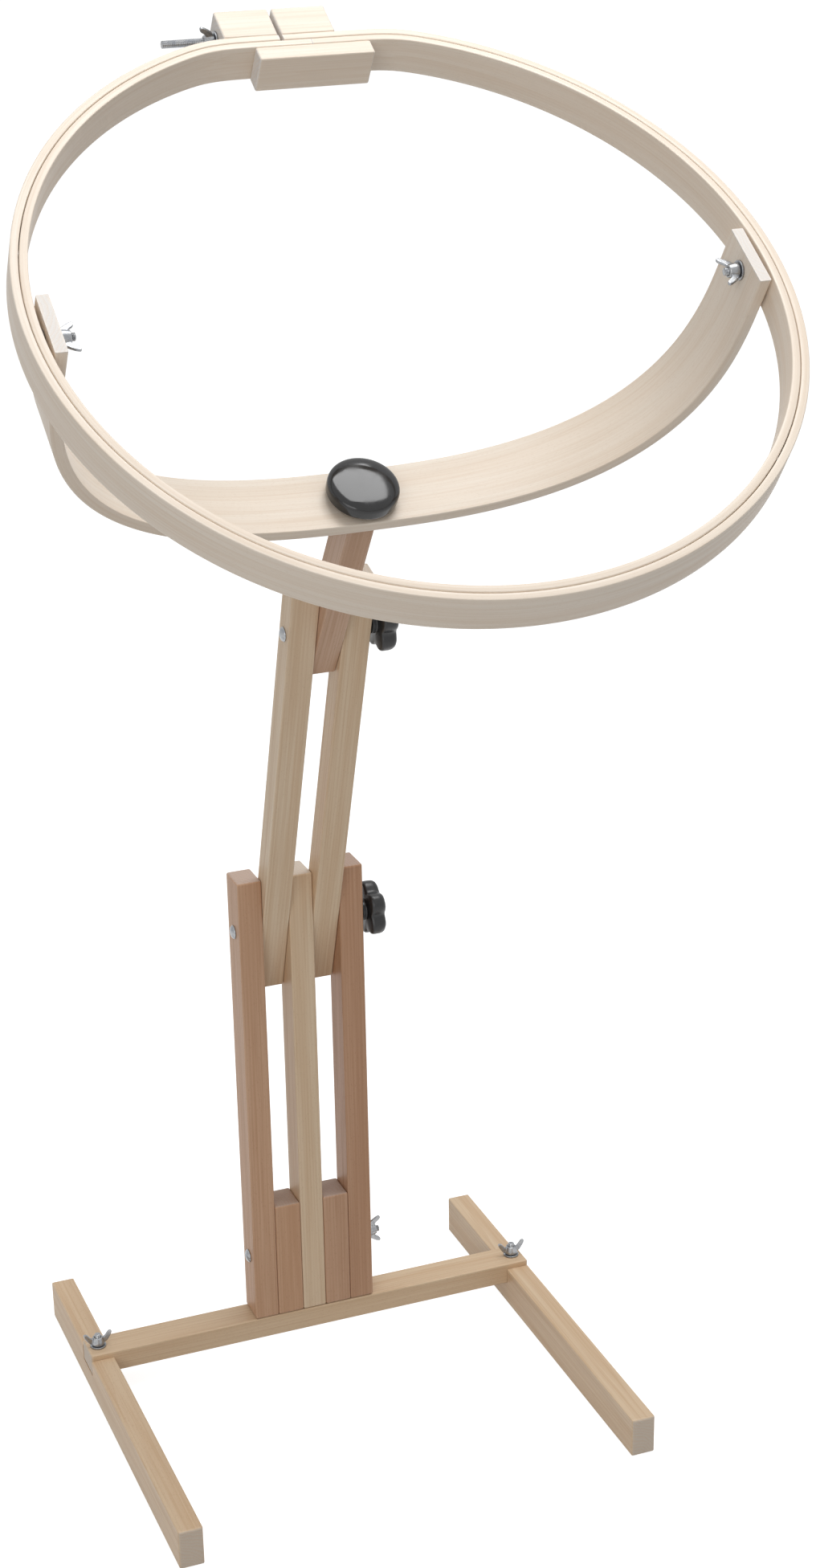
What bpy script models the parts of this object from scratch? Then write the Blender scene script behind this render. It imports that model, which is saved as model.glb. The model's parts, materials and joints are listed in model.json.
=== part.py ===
"""Embroidery hoop on a floor stand, in metres.

+X runs along the crossbar, -Y is the front, where the stitcher sits, and +Z is up.
The origin lies on the floor, under the centre of the whole object's box.
"""

import math

import bmesh
import bpy
from mathutils import Matrix, Vector

# Clearances
TOUCH = 0.0003  # left between two pieces that rest on each other
HOLE_CLEARANCE = 0.0003  # around a bolt in its hole, on the radius
CUTTER_OVERRUN = 0.002  # how far a cutter passes each face that it opens

# Base
CROSSBAR_LENGTH = 0.443
CROSSBAR_DEPTH = 0.031
CROSSBAR_HEIGHT = 0.021
CROSSBAR_RISE = 0.0056  # its top stands this far above the feet
FOOT_WIDTH = 0.022
FOOT_HEIGHT = 0.0374
FOOT_FRONT = 0.289  # from the crossbar's middle line to the feet's front ends
FOOT_BACK = 0.134

# Post stack
POST_THICKNESS = 0.0225
SLOT_WIDTH = 0.0253
POST_LENGTH = 0.4487
SPACER_HEIGHT = 0.117
BASE_BOLT_RISE = 0.062  # above the crossbar
PIVOT_BELOW_TOP = 0.0522
SCREW_RADIUS = 0.002
SCREW_HEAD_RADIUS = 0.004
SCREW_BITE = 0.034  # in the spacer

# Arms
ARM_DEPTH = 0.023
ARM_LEAN = math.radians(18.5)
ARM_REACH = 0.321  # between its two pivots
ARM_TAIL = 0.065  # below the lower pivot
ARM_HEAD = 0.052  # beyond the upper pivot

# Neck
NECK_DEPTH = 0.030
NECK_LEAN = math.radians(34.4)
NECK_TAIL = 0.0415  # below its pivot
NECK_REACH = 0.150  # from its pivot to the yoke

# Hoop
RING_OUTER_RADIUS = 0.285
RING_THICKNESS = 0.0061
RING_GAP = 0.0006  # between the two rings
HOOP_HEIGHT = 0.0297
FLAT_DROP = 0.009  # how far the straight stretch at the joint lies inside the circle
FLAT_BLEND = 0.0045  # how near the stretch and the circle come before they run together
SPLIT_X = -0.0165
SPLIT_WIDTH = 0.003
JOINT_BLOCK_LENGTH = 0.092
JOINT_BLOCK_DEPTH = 0.014
JOINT_BLOCK_X = 0.006
CLAMP_BLOCK_LENGTH = 0.043
CLAMP_BLOCK_DEPTH = 0.030
CLAMP_BOLT_INSET = 0.015  # from the outer ring to the bolt
CLAMP_BOLT_TAIL = 0.043  # past the left block

# Yoke
YOKE_WIDTH = 0.055
YOKE_THICKNESS = 0.0093
YOKE_DEPTH = 0.226
YOKE_CLEARANCE = 0.0022  # between its edges and the inner ring
YOKE_SQUARENESS = 2.65  # exponent of its curve: 2 is an ellipse
YOKE_END_MARGIN = 0.003  # straight strip past the washers at its ends

# Fasteners
BOLT_RADIUS = 0.003
BOLT_HEAD_RADIUS = 0.0064
BOLT_HEAD_HEIGHT = 0.003
SQUARE_NECK = 0.0062
SQUARE_NECK_LENGTH = 0.004
WASHER_RADIUS = 0.0075
WASHER_THICKNESS = 0.0014
YOKE_WASHER_RADIUS = 0.012
FLAT_HEAD_RADIUS = 0.0058
FLAT_HEAD_HEIGHT = 0.0028
FLAT_HEAD_SINK = 0.0003
BOLT_STUB = 0.003  # past its nut
FOOT_BOLT_POCKET = 0.006
FOOT_BOLT_POCKET_RADIUS = 0.0075
FOOT_BOLT_HEAD_RADIUS = 0.0065

# Wing nuts
WING_HUB_RADIUS = 0.0058
WING_TOP_RADIUS = 0.0048
WING_HUB_HEIGHT = 0.008
WING_SPAN = 0.027
WING_HEIGHT = 0.0125
WING_THICKNESS = 0.0022

# Knobs
LOBED_KNOB_RADIUS = 0.0255
LOBE_DEPTH = 0.12  # share of the radius
LOBES = 5
LOBED_KNOB_HEIGHT = 0.0185
LOBED_HUB_RADIUS = 0.0095
LOBED_HUB_HEIGHT = 0.0045
ROUND_KNOB_RADIUS = 0.0285
ROUND_KNOB_HEIGHT = 0.016
INSERT_RADIUS = 0.0048
INSERT_LENGTH = 0.013
STUD_RADIUS = 0.004
STUD_BITE = 0.040  # in the neck

# Outlines
BOLT_DOME = ((0, 1), (0.45, 0.88), (0.82, 0.5), (1, 0))  # shares of head radius and height
WING_CUT = 0.35  # share of the hub's height that stays straight
WING_ROOT = (0.08, 0.51)  # shares of the wing height at which it leaves the hub
WING_OUTLINE = (  # shares of the span and of the wing height
    (0.3, 0.13), (0.45, 0.55), (0.5, 0.85), (0.46, 1), (0.38, 0.97), (0.28, 0.72),
)
LOBED_UNDERSIDE = ((0.9, 0), (1, 0.002))  # share of the radius, metres above the hub
LOBED_TOP = (  # share of the radius, metres below the top, share of the lobes
    (1, 0.0045, 1), (0.9, 0.0013, 0.9), (0.55, 0, 0.4),
)
ROUND_UNDERSIDE = (  # share of the radius, metres above the seat
    (0.55, 0), (0.6, 0.003), (0.94, 0.0035), (1, 0.006),
)
ROUND_TOP = (  # share of the radius, metres below the top
    (1, 0.0045), (0.95, 0.0019), (0.82, 0.0009), (0.45, 0.0002),
)

# Finish
TIMBER_EDGE = 0.0012
STRIP_EDGE = 0.0008
BLOCK_EDGE = 0.001
RING_STEPS = 80
YOKE_STEPS = 43
ROUND_STEPS = 20
KNOB_STEPS = 40

# Places that follow from the sizes
CROSSBAR_TOP = FOOT_HEIGHT + CROSSBAR_RISE
CROSSBAR_BOTTOM = CROSSBAR_TOP - CROSSBAR_HEIGHT
FOOT_X = CROSSBAR_LENGTH / 2 - FOOT_WIDTH / 2
SLOT_X = (POST_THICKNESS + SLOT_WIDTH) / 2
OUTER_POST_X = POST_THICKNESS + SLOT_WIDTH
STACK_SIDE_X = OUTER_POST_X + POST_THICKNESS / 2
ARM_THICKNESS = SLOT_WIDTH - 2 * TOUCH
ARM_SIDE_X = SLOT_X + ARM_THICKNESS / 2
LOWER_PIVOT_Z = CROSSBAR_TOP + TOUCH + POST_LENGTH - PIVOT_BELOW_TOP
UPPER_PIVOT_Y = -ARM_REACH * math.sin(ARM_LEAN)
INNER_RING_RADIUS = RING_OUTER_RADIUS - 2 * RING_THICKNESS - RING_GAP
HOOP_AXIS_REACH = NECK_REACH + YOKE_DEPTH - HOOP_HEIGHT / 2  # from the neck's pivot
RIM_Y = UPPER_PIVOT_Y - (NECK_REACH + YOKE_DEPTH) * math.sin(NECK_LEAN)
HOOP_FRONT = RIM_Y + STRIP_EDGE * math.sin(NECK_LEAN) - RING_OUTER_RADIUS * math.cos(NECK_LEAN)
CENTRE_Y = (HOOP_FRONT + FOOT_BACK) / 2
YOKE_STRAIGHT = HOOP_HEIGHT / 2 + WASHER_RADIUS + YOKE_END_MARGIN  # at each end
YOKE_HALF_SPAN = math.sqrt(INNER_RING_RADIUS**2 - (YOKE_WIDTH / 2) ** 2) - YOKE_CLEARANCE
SPACER_FACE_X = INNER_RING_RADIUS - WASHER_RADIUS * math.tan(math.pi / RING_STEPS)
HOOP_SPACER_THICKNESS = SPACER_FACE_X - YOKE_HALF_SPAN - 2 * TOUCH
FLAT_INNER_Y = INNER_RING_RADIUS - FLAT_DROP
FLAT_OUTER_Y = RING_OUTER_RADIUS - FLAT_DROP

# Wood, metal and plastic: colour, roughness, metallic
FINISHES = {
    "pale_wood": ((0.74, 0.58, 0.42), 0.55, 0.0),
    "light_wood": ((0.66, 0.47, 0.30), 0.55, 0.0),
    "red_wood": ((0.47, 0.27, 0.17), 0.5, 0.0),
    "black_plastic": ((0.015, 0.015, 0.016), 0.4, 0.0),
    "gloss_plastic": ((0.01, 0.01, 0.011), 0.15, 0.0),
    "zinc": ((0.62, 0.62, 0.60), 0.35, 1.0),
    "brass": ((0.72, 0.54, 0.24), 0.3, 1.0),
}


def clear_scene():
    for obj in list(bpy.data.objects):
        bpy.data.objects.remove(obj, do_unlink=True)


def material(finish):
    """The finish's material, made once."""
    found = bpy.data.materials.get(finish)
    if found:
        return found
    colour, roughness, metallic = FINISHES[finish]
    made = bpy.data.materials.new(finish)
    made.use_nodes = True
    shader = made.node_tree.nodes["Principled BSDF"]
    shader.inputs["Base Color"].default_value = (*colour, 1.0)
    shader.inputs["Roughness"].default_value = roughness
    shader.inputs["Metallic"].default_value = metallic
    made.diffuse_color = (*colour, 1.0)
    return made


def empty(name, parent=None, location=(0, 0, 0), lean=0.0):
    """A frame for the pieces on it. A positive lean tips its +Z towards the front."""
    made = bpy.data.objects.new(name, None)
    bpy.context.collection.objects.link(made)
    made.parent = parent
    made.location = location
    made.rotation_euler = (lean, 0, 0)
    return made


def add_object(name, mesh, finish, parent, location=(0, 0, 0), turn=(0, 0, 0)):
    made = bpy.data.objects.new(name, mesh)
    bpy.context.collection.objects.link(made)
    if not mesh.materials:
        mesh.materials.append(material(finish))
    made.parent = parent
    made.location = location
    made.rotation_euler = turn
    return made


def mesh_from(name, shape):
    """A mesh from a bmesh, with its faces out and its round parts smooth."""
    bmesh.ops.recalc_face_normals(shape, faces=shape.faces)
    mesh = bpy.data.meshes.new(name)
    shape.to_mesh(mesh)
    shape.free()
    mesh.shade_smooth()
    mesh.set_sharp_from_angle(angle=math.radians(35))
    return mesh


def box_mesh(name, size):
    shape = bmesh.new()
    bmesh.ops.create_cube(shape, size=1.0, matrix=Matrix.Diagonal((*size, 1.0)))
    return mesh_from(name, shape)


def ease_edges(obj, width):
    bevel = obj.modifiers.new("eased_edges", "BEVEL")
    bevel.width = width
    bevel.segments = 1
    bevel.limit_method = "ANGLE"
    bevel.angle_limit = math.radians(40)
    bevel.use_clamp_overlap = True


def board(name, size, centre, finish, parent, edge=TIMBER_EDGE):
    """A straight piece of timber with eased edges."""
    made = add_object(name, box_mesh(name, size), finish, parent, centre)
    ease_edges(made, edge)
    return made


def cut(target, cutter):
    """Takes the cutter's shape out of the target."""
    cutter.hide_render = True
    cutter.display_type = "WIRE"
    boolean = target.modifiers.new(cutter.name, "BOOLEAN")
    boolean.operation = "DIFFERENCE"
    boolean.solver = "EXACT"
    boolean.object = cutter


def turned_mesh(name, profile, steps=ROUND_STEPS, closed=False, lobes=0):
    """A turned shape about Z. The profile is (radius, height, lobe share) points.

    A closed profile is a loop that leaves a bore; an open one starts and ends on the axis.
    A hollow between two lobes faces -Y.
    """
    shape = bmesh.new()
    rows = []
    for radius, height, lobed in profile:
        if radius == 0:
            rows.append([shape.verts.new((0, 0, height))])
            continue
        row = []
        for step in range(steps):
            angle = 2 * math.pi * step / steps
            reach = radius * (1 - lobed * math.cos(lobes * (angle + math.pi / 2)))
            point = (reach * math.cos(angle), reach * math.sin(angle), height)
            row.append(shape.verts.new(point))
        rows.append(row)
    pairs = list(zip(rows, rows[1:]))
    if closed:
        pairs.append((rows[-1], rows[0]))
    for low, high in pairs:
        for step in range(steps):
            following = (step + 1) % steps
            corners = [low[step % len(low)], low[following % len(low)]]
            corners += [high[following % len(high)], high[step % len(high)]]
            shape.faces.new(list(dict.fromkeys(corners)))
    return mesh_from(name, shape)


def rod_mesh(name, radius, start, end):
    profile = [(0, start, 0), (radius, start, 0), (radius, end, 0), (0, end, 0)]
    return turned_mesh(name, profile)


def tube_mesh(name, bore, radius, start, end):
    profile = [(bore, start, 0), (radius, start, 0), (radius, end, 0), (bore, end, 0)]
    return turned_mesh(name, profile, closed=True)


# Turns that send a turned shape's +Z along another axis
ALONG = {
    "+Z": (0, 0, 0),
    "+X": (0, math.pi / 2, 0),
    "-X": (0, -math.pi / 2, 0),
}
# The same for a wing nut whose wings lie across the yoke's strip
ALONG_CROSSWISE = {
    "+X": (math.pi / 2, 0, math.pi / 2),
    "-X": (math.pi / 2, 0, -math.pi / 2),
}


def drill(target, name, radius, start, length, axis="+Z", head=None):
    """A hole from the start point along the axis; head is (radius, depth) of a countersink."""
    end = length + CUTTER_OVERRUN
    profile = [(0, -CUTTER_OVERRUN, 0), (radius, -CUTTER_OVERRUN, 0)]
    if head:
        profile = [(0, -CUTTER_OVERRUN, 0), (head[0], -CUTTER_OVERRUN, 0)]
        profile += [(head[0], 0, 0), (radius, head[1], 0)]
    profile += [(radius, end, 0), (0, end, 0)]
    mesh = turned_mesh(name, profile)
    cut(target, add_object(name, mesh, "zinc", target.parent, start, ALONG[axis]))


def pocket(target, name, size, centre):
    """A square-cornered recess."""
    cut(target, add_object(name, box_mesh(name, size), "zinc", target.parent, centre))


def carriage_bolt(name, parent, start, length, axis="+X"):
    """A domed bolt: its head stands before the start point, its square neck after it."""
    profile = [
        (BOLT_HEAD_RADIUS * out, -TOUCH - BOLT_HEAD_HEIGHT * up, 0) for out, up in BOLT_DOME
    ]
    profile += [(BOLT_RADIUS, -TOUCH, 0), (BOLT_RADIUS, length, 0), (0, length, 0)]
    mesh = turned_mesh(name, profile)
    bolt = add_object(name, mesh, "zinc", parent, start, ALONG[axis])
    square = box_mesh(name + "_square", (SQUARE_NECK, SQUARE_NECK, SQUARE_NECK_LENGTH))
    neck = add_object(
        name + "_square", square, "zinc", bolt, (0, 0, SQUARE_NECK_LENGTH / 2 - 2 * TOUCH)
    )
    neck.hide_render = True
    neck.display_type = "WIRE"
    union = bolt.modifiers.new("square_neck", "BOOLEAN")
    union.operation = "UNION"
    union.solver = "EXACT"
    union.object = neck
    return bolt


def square_pocket(target, name, start, direction):
    """The recess that a carriage bolt's square neck sits in, along X from the start point."""
    side = SQUARE_NECK + 2 * HOLE_CLEARANCE
    depth = SQUARE_NECK_LENGTH + TOUCH + CUTTER_OVERRUN
    centre = Vector(start) + Vector((direction * (depth / 2 - CUTTER_OVERRUN), 0, 0))
    pocket(target, name, (depth, side, side), centre)


def washer(name, parent, location, axis, thickness=WASHER_THICKNESS, radius=WASHER_RADIUS,
           bore=BOLT_RADIUS + HOLE_CLEARANCE):
    mesh = tube_mesh(name, bore, radius, 0, thickness)
    return add_object(name, mesh, "zinc", parent, location, ALONG[axis])


def wing_nut_mesh():
    """One wing nut, its seat at the origin and its wings along X, as a plain mesh."""
    bore = BOLT_RADIUS + HOLE_CLEARANCE
    hub = add_object("wing_hub", turned_mesh("wing_hub", [
        (bore, 0, 0),
        (WING_HUB_RADIUS, 0, 0),
        (WING_HUB_RADIUS, WING_HUB_HEIGHT * WING_CUT, 0),
        (WING_TOP_RADIUS, WING_HUB_HEIGHT, 0),
        (bore, WING_HUB_HEIGHT, 0),
    ], closed=True), "zinc", None)
    helpers = [hub]
    root = (bore + WING_TOP_RADIUS) / 2
    for side in (-1, 1):
        outline = [(root, WING_HEIGHT * WING_ROOT[0])]
        outline += [(WING_SPAN * out, WING_HEIGHT * up) for out, up in WING_OUTLINE]
        outline.append((root, WING_HEIGHT * WING_ROOT[1]))
        shape = bmesh.new()
        verts = [shape.verts.new((side * x, -WING_THICKNESS / 2, z)) for x, z in outline]
        face = shape.faces.new(verts)
        moved = bmesh.ops.extrude_face_region(shape, geom=[face])["geom"]
        shift = Vector((0, WING_THICKNESS, 0))
        raised = [item for item in moved if isinstance(item, bmesh.types.BMVert)]
        bmesh.ops.translate(shape, verts=raised, vec=shift)
        wing = add_object(f"wing_{side}", mesh_from("wing", shape), "zinc", None)
        union = hub.modifiers.new("wing", "BOOLEAN")
        union.operation = "UNION"
        union.solver = "EXACT"
        union.object = wing
        helpers.append(wing)
    bpy.context.view_layer.update()
    graph = bpy.context.evaluated_depsgraph_get()
    mesh = bpy.data.meshes.new_from_object(hub.evaluated_get(graph))
    mesh.name = "wing_nut"
    for helper in helpers:
        bpy.data.objects.remove(helper, do_unlink=True)
    return mesh


def lobed_knob(name, parent, location):
    """A lobed plastic knob with its brass insert, seated at the location and facing +X."""
    bore = INSERT_RADIUS + HOLE_CLEARANCE
    socket = INSERT_LENGTH + TOUCH
    reach = LOBED_KNOB_RADIUS / (1 + LOBE_DEPTH)
    profile = [(0, socket, 0), (bore, socket, 0), (bore, 0, 0), (LOBED_HUB_RADIUS, 0, 0)]
    profile.append((LOBED_HUB_RADIUS, LOBED_HUB_HEIGHT, 0))
    for out, up in LOBED_UNDERSIDE:
        profile.append((reach * out, LOBED_HUB_HEIGHT + up, LOBE_DEPTH))
    for out, down, lobed in LOBED_TOP:
        profile.append((reach * out, LOBED_KNOB_HEIGHT - down, LOBE_DEPTH * lobed))
    profile.append((0, LOBED_KNOB_HEIGHT, 0))
    mesh = turned_mesh(name, profile, KNOB_STEPS, lobes=LOBES)
    knob = add_object(name, mesh, "black_plastic", parent, location, ALONG["+X"])
    insert = tube_mesh(
        name + "_insert", BOLT_RADIUS + HOLE_CLEARANCE, INSERT_RADIUS, 0, INSERT_LENGTH
    )
    add_object(name + "_insert", insert, "brass", parent, location, ALONG["+X"])
    return knob


def through_bolt(name, parent, place, half_span, with_knob):
    """A carriage bolt along X from the left side, with a washer on the right side.

    It returns the X at which the nut or the knob seats.
    """
    washer_x = half_span + TOUCH
    nut_seat = washer_x + WASHER_THICKNESS + TOUCH
    fitting = INSERT_LENGTH if with_knob else WING_HUB_HEIGHT + BOLT_STUB
    start = (-half_span, place[1], place[2])
    carriage_bolt(name + "_bolt", parent, start, half_span + nut_seat + fitting)
    washer(name + "_washer", parent, (washer_x, place[1], place[2]), "+X")
    return nut_seat


def build_base(base, wing_nut):
    """Feet, crossbar, posts, spacers and what fastens them."""
    crossbar = board(
        "crossbar", (CROSSBAR_LENGTH, CROSSBAR_DEPTH, CROSSBAR_HEIGHT),
        (0, 0, CROSSBAR_TOP - CROSSBAR_HEIGHT / 2), "light_wood", base,
    )
    foot_length = FOOT_FRONT + FOOT_BACK
    for side, name in ((-1, "left"), (1, "right")):
        x = side * FOOT_X
        foot = board(
            f"foot_{name}", (FOOT_WIDTH, foot_length, FOOT_HEIGHT),
            (x, (FOOT_BACK - FOOT_FRONT) / 2, FOOT_HEIGHT / 2), "light_wood", base,
        )
        notch_bottom = CROSSBAR_BOTTOM - TOUCH
        notch_height = FOOT_HEIGHT - notch_bottom + CUTTER_OVERRUN
        pocket(
            foot, f"foot_notch_{name}",
            (FOOT_WIDTH + 2 * CUTTER_OVERRUN, CROSSBAR_DEPTH + 2 * TOUCH, notch_height),
            (x, 0, notch_bottom + notch_height / 2),
        )
        hole = BOLT_RADIUS + HOLE_CLEARANCE
        drill(foot, f"foot_hole_{name}", hole, (x, 0, 0), FOOT_HEIGHT)
        drill(foot, f"foot_pocket_{name}", FOOT_BOLT_POCKET_RADIUS, (x, 0, 0),
              FOOT_BOLT_POCKET - CUTTER_OVERRUN)
        drill(crossbar, f"crossbar_end_hole_{name}", hole, (x, 0, CROSSBAR_BOTTOM),
              CROSSBAR_HEIGHT)
        seat = CROSSBAR_TOP + TOUCH
        nut_seat = seat + WASHER_THICKNESS + TOUCH
        head_top = FOOT_BOLT_POCKET - TOUCH
        head_bottom = head_top - BOLT_HEAD_HEIGHT
        bolt = turned_mesh(f"foot_bolt_{name}", [
            (0, head_bottom, 0),
            (FOOT_BOLT_HEAD_RADIUS, head_bottom, 0),
            (FOOT_BOLT_HEAD_RADIUS, head_top, 0),
            (BOLT_RADIUS, head_top, 0),
            (BOLT_RADIUS, nut_seat + WING_HUB_HEIGHT + BOLT_STUB, 0),
            (0, nut_seat + WING_HUB_HEIGHT + BOLT_STUB, 0),
        ])
        add_object(f"foot_bolt_{name}", bolt, "zinc", base, (x, 0, 0))
        washer(f"foot_washer_{name}", base, (x, 0, seat), "+Z")
        add_object(f"foot_wing_nut_{name}", wing_nut, "zinc", base, (x, 0, nut_seat))

    post_foot = CROSSBAR_TOP + TOUCH
    hole = BOLT_RADIUS + HOLE_CLEARANCE
    boards = []
    for name, x, finish in (
        ("post_left", -OUTER_POST_X, "red_wood"),
        ("post_middle", 0.0, "light_wood"),
        ("post_right", OUTER_POST_X, "red_wood"),
    ):
        post = board(
            name, (POST_THICKNESS, CROSSBAR_DEPTH, POST_LENGTH),
            (x, 0, post_foot + POST_LENGTH / 2), finish, base,
        )
        boards.append((post, x, POST_THICKNESS))
        drill(post, f"{name}_pivot_hole", hole, (x - POST_THICKNESS / 2, 0, LOWER_PIVOT_Z),
              POST_THICKNESS, "+X")
    for name, side in (("left", -1), ("right", 1)):
        x = side * SLOT_X
        thickness = SLOT_WIDTH - 2 * TOUCH
        spacer = board(
            f"spacer_{name}", (thickness, CROSSBAR_DEPTH, SPACER_HEIGHT),
            (x, 0, post_foot + SPACER_HEIGHT / 2), "red_wood", base,
        )
        boards.append((spacer, x, thickness))
        screw_hole = SCREW_RADIUS + HOLE_CLEARANCE
        drill(spacer, f"spacer_screw_hole_{name}", screw_hole, (x, 0, post_foot),
              SCREW_BITE + TOUCH - CUTTER_OVERRUN)
        head = (SCREW_HEAD_RADIUS + HOLE_CLEARANCE, SCREW_HEAD_RADIUS - SCREW_RADIUS)
        drill(crossbar, f"crossbar_screw_hole_{name}", screw_hole, (x, 0, CROSSBAR_BOTTOM),
              CROSSBAR_HEIGHT, head=head)
        head_face = CROSSBAR_BOTTOM + TOUCH
        screw_tip = post_foot + SCREW_BITE
        screw = turned_mesh(f"spacer_screw_{name}", [
            (0, head_face, 0),
            (SCREW_HEAD_RADIUS, head_face, 0),
            (SCREW_RADIUS, head_face + SCREW_HEAD_RADIUS - SCREW_RADIUS, 0),
            (SCREW_RADIUS, screw_tip - 2 * SCREW_RADIUS, 0),
            (0, screw_tip, 0),
        ])
        add_object(f"spacer_screw_{name}", screw, "zinc", base, (x, 0, 0))
    bolt_z = CROSSBAR_TOP + BASE_BOLT_RISE
    for piece, x, thickness in boards:
        drill(piece, f"{piece.name}_base_hole", hole, (x - thickness / 2, 0, bolt_z),
              thickness, "+X")
    for z in (bolt_z, LOWER_PIVOT_Z):
        square_pocket(boards[0][0], f"post_left_square_{z:.2f}", (-STACK_SIDE_X, 0, z), 1)
    nut_seat = through_bolt("base", base, (0, 0, bolt_z), STACK_SIDE_X, with_knob=False)
    add_object("base_wing_nut", wing_nut, "zinc", base, (nut_seat, 0, bolt_z), ALONG["+X"])
    knob_seat = through_bolt("arm", base, (0, 0, LOWER_PIVOT_Z), STACK_SIDE_X, with_knob=True)
    lobed_knob("arm_knob", base, (knob_seat, 0, LOWER_PIVOT_Z))


def build_arms(arm_frame):
    """The two arms, on the lower pivot, and the upper pivot's bolt and knob."""
    length = ARM_TAIL + ARM_REACH + ARM_HEAD
    hole = BOLT_RADIUS + HOLE_CLEARANCE
    for name, side in (("left", -1), ("right", 1)):
        x = side * SLOT_X
        arm = board(
            f"arm_{name}", (ARM_THICKNESS, ARM_DEPTH, length),
            (x, 0, length / 2 - ARM_TAIL), "light_wood", arm_frame,
        )
        for pivot, z in (("lower", 0.0), ("upper", ARM_REACH)):
            drill(arm, f"arm_{name}_{pivot}_hole", hole, (x - ARM_THICKNESS / 2, 0, z),
                  ARM_THICKNESS, "+X")
        if side < 0:
            square_pocket(arm, "arm_left_square", (-ARM_SIDE_X, 0, ARM_REACH), 1)
    knob_seat = through_bolt("neck", arm_frame, (0, 0, ARM_REACH), ARM_SIDE_X, with_knob=True)
    lobed_knob("neck_knob", arm_frame, (knob_seat, 0, ARM_REACH))


def build_neck(neck_frame):
    """The neck, with the stud that stands out of its end, and the round knob on the stud."""
    top = NECK_REACH - TOUCH
    length = top + NECK_TAIL
    neck = board(
        "neck", (POST_THICKNESS, NECK_DEPTH, length),
        (0, 0, top - length / 2), "red_wood", neck_frame,
    )
    hole = BOLT_RADIUS + HOLE_CLEARANCE
    drill(neck, "neck_pivot_hole", hole, (-POST_THICKNESS / 2, 0, 0), POST_THICKNESS, "+X")
    stud_foot = top - STUD_BITE
    drill(neck, "neck_stud_hole", STUD_RADIUS + HOLE_CLEARANCE, (0, 0, stud_foot + CUTTER_OVERRUN),
          STUD_BITE - CUTTER_OVERRUN)
    washer_seat = NECK_REACH + YOKE_THICKNESS + TOUCH
    knob_seat = washer_seat + WASHER_THICKNESS + TOUCH
    stud_top = knob_seat + ROUND_KNOB_HEIGHT / 2
    stud = rod_mesh("yoke_stud", STUD_RADIUS, stud_foot + TOUCH, stud_top)
    add_object("yoke_stud", stud, "zinc", neck_frame)
    washer("yoke_washer", neck_frame, (0, 0, washer_seat), "+Z",
           radius=YOKE_WASHER_RADIUS, bore=STUD_RADIUS + HOLE_CLEARANCE)
    bore = STUD_RADIUS + HOLE_CLEARANCE
    socket = ROUND_KNOB_HEIGHT / 2 + 2 * TOUCH
    profile = [(0, socket, 0), (bore, socket, 0), (bore, 0, 0)]
    profile += [(ROUND_KNOB_RADIUS * out, up, 0) for out, up in ROUND_UNDERSIDE]
    profile += [(ROUND_KNOB_RADIUS * out, ROUND_KNOB_HEIGHT - down, 0) for out, down in ROUND_TOP]
    profile.append((0, ROUND_KNOB_HEIGHT, 0))
    knob = turned_mesh("yoke_knob", profile, KNOB_STEPS)
    add_object("yoke_knob", knob, "gloss_plastic", neck_frame, (0, 0, knob_seat))


def yoke_outline():
    """Points of the yoke's outer and inner faces, (x, z) from the hoop's rim, left to right."""
    power = 2 / YOKE_SQUARENESS
    outer = [Vector((-YOKE_HALF_SPAN, 0))]
    for step in range(YOKE_STEPS + 1):
        angle = math.pi * step / YOKE_STEPS
        across = math.cos(angle)
        x = -math.copysign(abs(across) ** power, across) * YOKE_HALF_SPAN
        sag = abs(math.sin(angle)) ** power * (YOKE_DEPTH - YOKE_STRAIGHT)
        outer.append(Vector((x, -YOKE_STRAIGHT - sag)))
    outer.append(Vector((YOKE_HALF_SPAN, 0)))
    last = len(outer) - 1
    inner = []
    for index, point in enumerate(outer):
        before = outer[max(index - 1, 0)]
        after = outer[min(index + 1, last)]
        along = (after - before).normalized()
        inner.append(point + Vector((-along.y, along.x)) * YOKE_THICKNESS)
    return outer, inner


def build_yoke(yoke_frame):
    """The bent strip that carries the hoop. Its frame's origin is under its middle."""
    outer, inner = yoke_outline()
    shape = bmesh.new()
    rows = []
    for out, within in zip(outer, inner):
        corners = []
        for point, y in ((out, -1), (out, 1), (within, 1), (within, -1)):
            corners.append(shape.verts.new((point.x, y * YOKE_WIDTH / 2, point.y + YOKE_DEPTH)))
        rows.append(corners)
    for one, other in zip(rows, rows[1:]):
        for corner in range(4):
            following = (corner + 1) % 4
            shape.faces.new((one[corner], one[following], other[following], other[corner]))
    shape.faces.new(rows[0])
    shape.faces.new(rows[-1])
    yoke = add_object("yoke", mesh_from("yoke", shape), "pale_wood", yoke_frame)
    ease_edges(yoke, STRIP_EDGE)
    drill(yoke, "yoke_stud_hole", STUD_RADIUS + HOLE_CLEARANCE, (0, 0, 0), YOKE_THICKNESS)
    pivot_z = YOKE_DEPTH - HOOP_HEIGHT / 2
    for name, side, axis in (("left", -1, "+X"), ("right", 1, "-X")):
        drill(yoke, f"yoke_end_hole_{name}", BOLT_RADIUS + HOLE_CLEARANCE,
              (side * YOKE_HALF_SPAN, 0, pivot_z), 2 * YOKE_THICKNESS, axis)


def ring_reach(radius, angle):
    """The distance from the hoop's middle to a round face that has the straight stretch."""
    across = math.sin(angle)
    if across <= 0:
        return radius
    straight = (radius - FLAT_DROP) / across
    near = max(FLAT_BLEND - abs(straight - radius), 0)
    return min(radius, straight) - near**2 / (4 * FLAT_BLEND)


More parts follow.
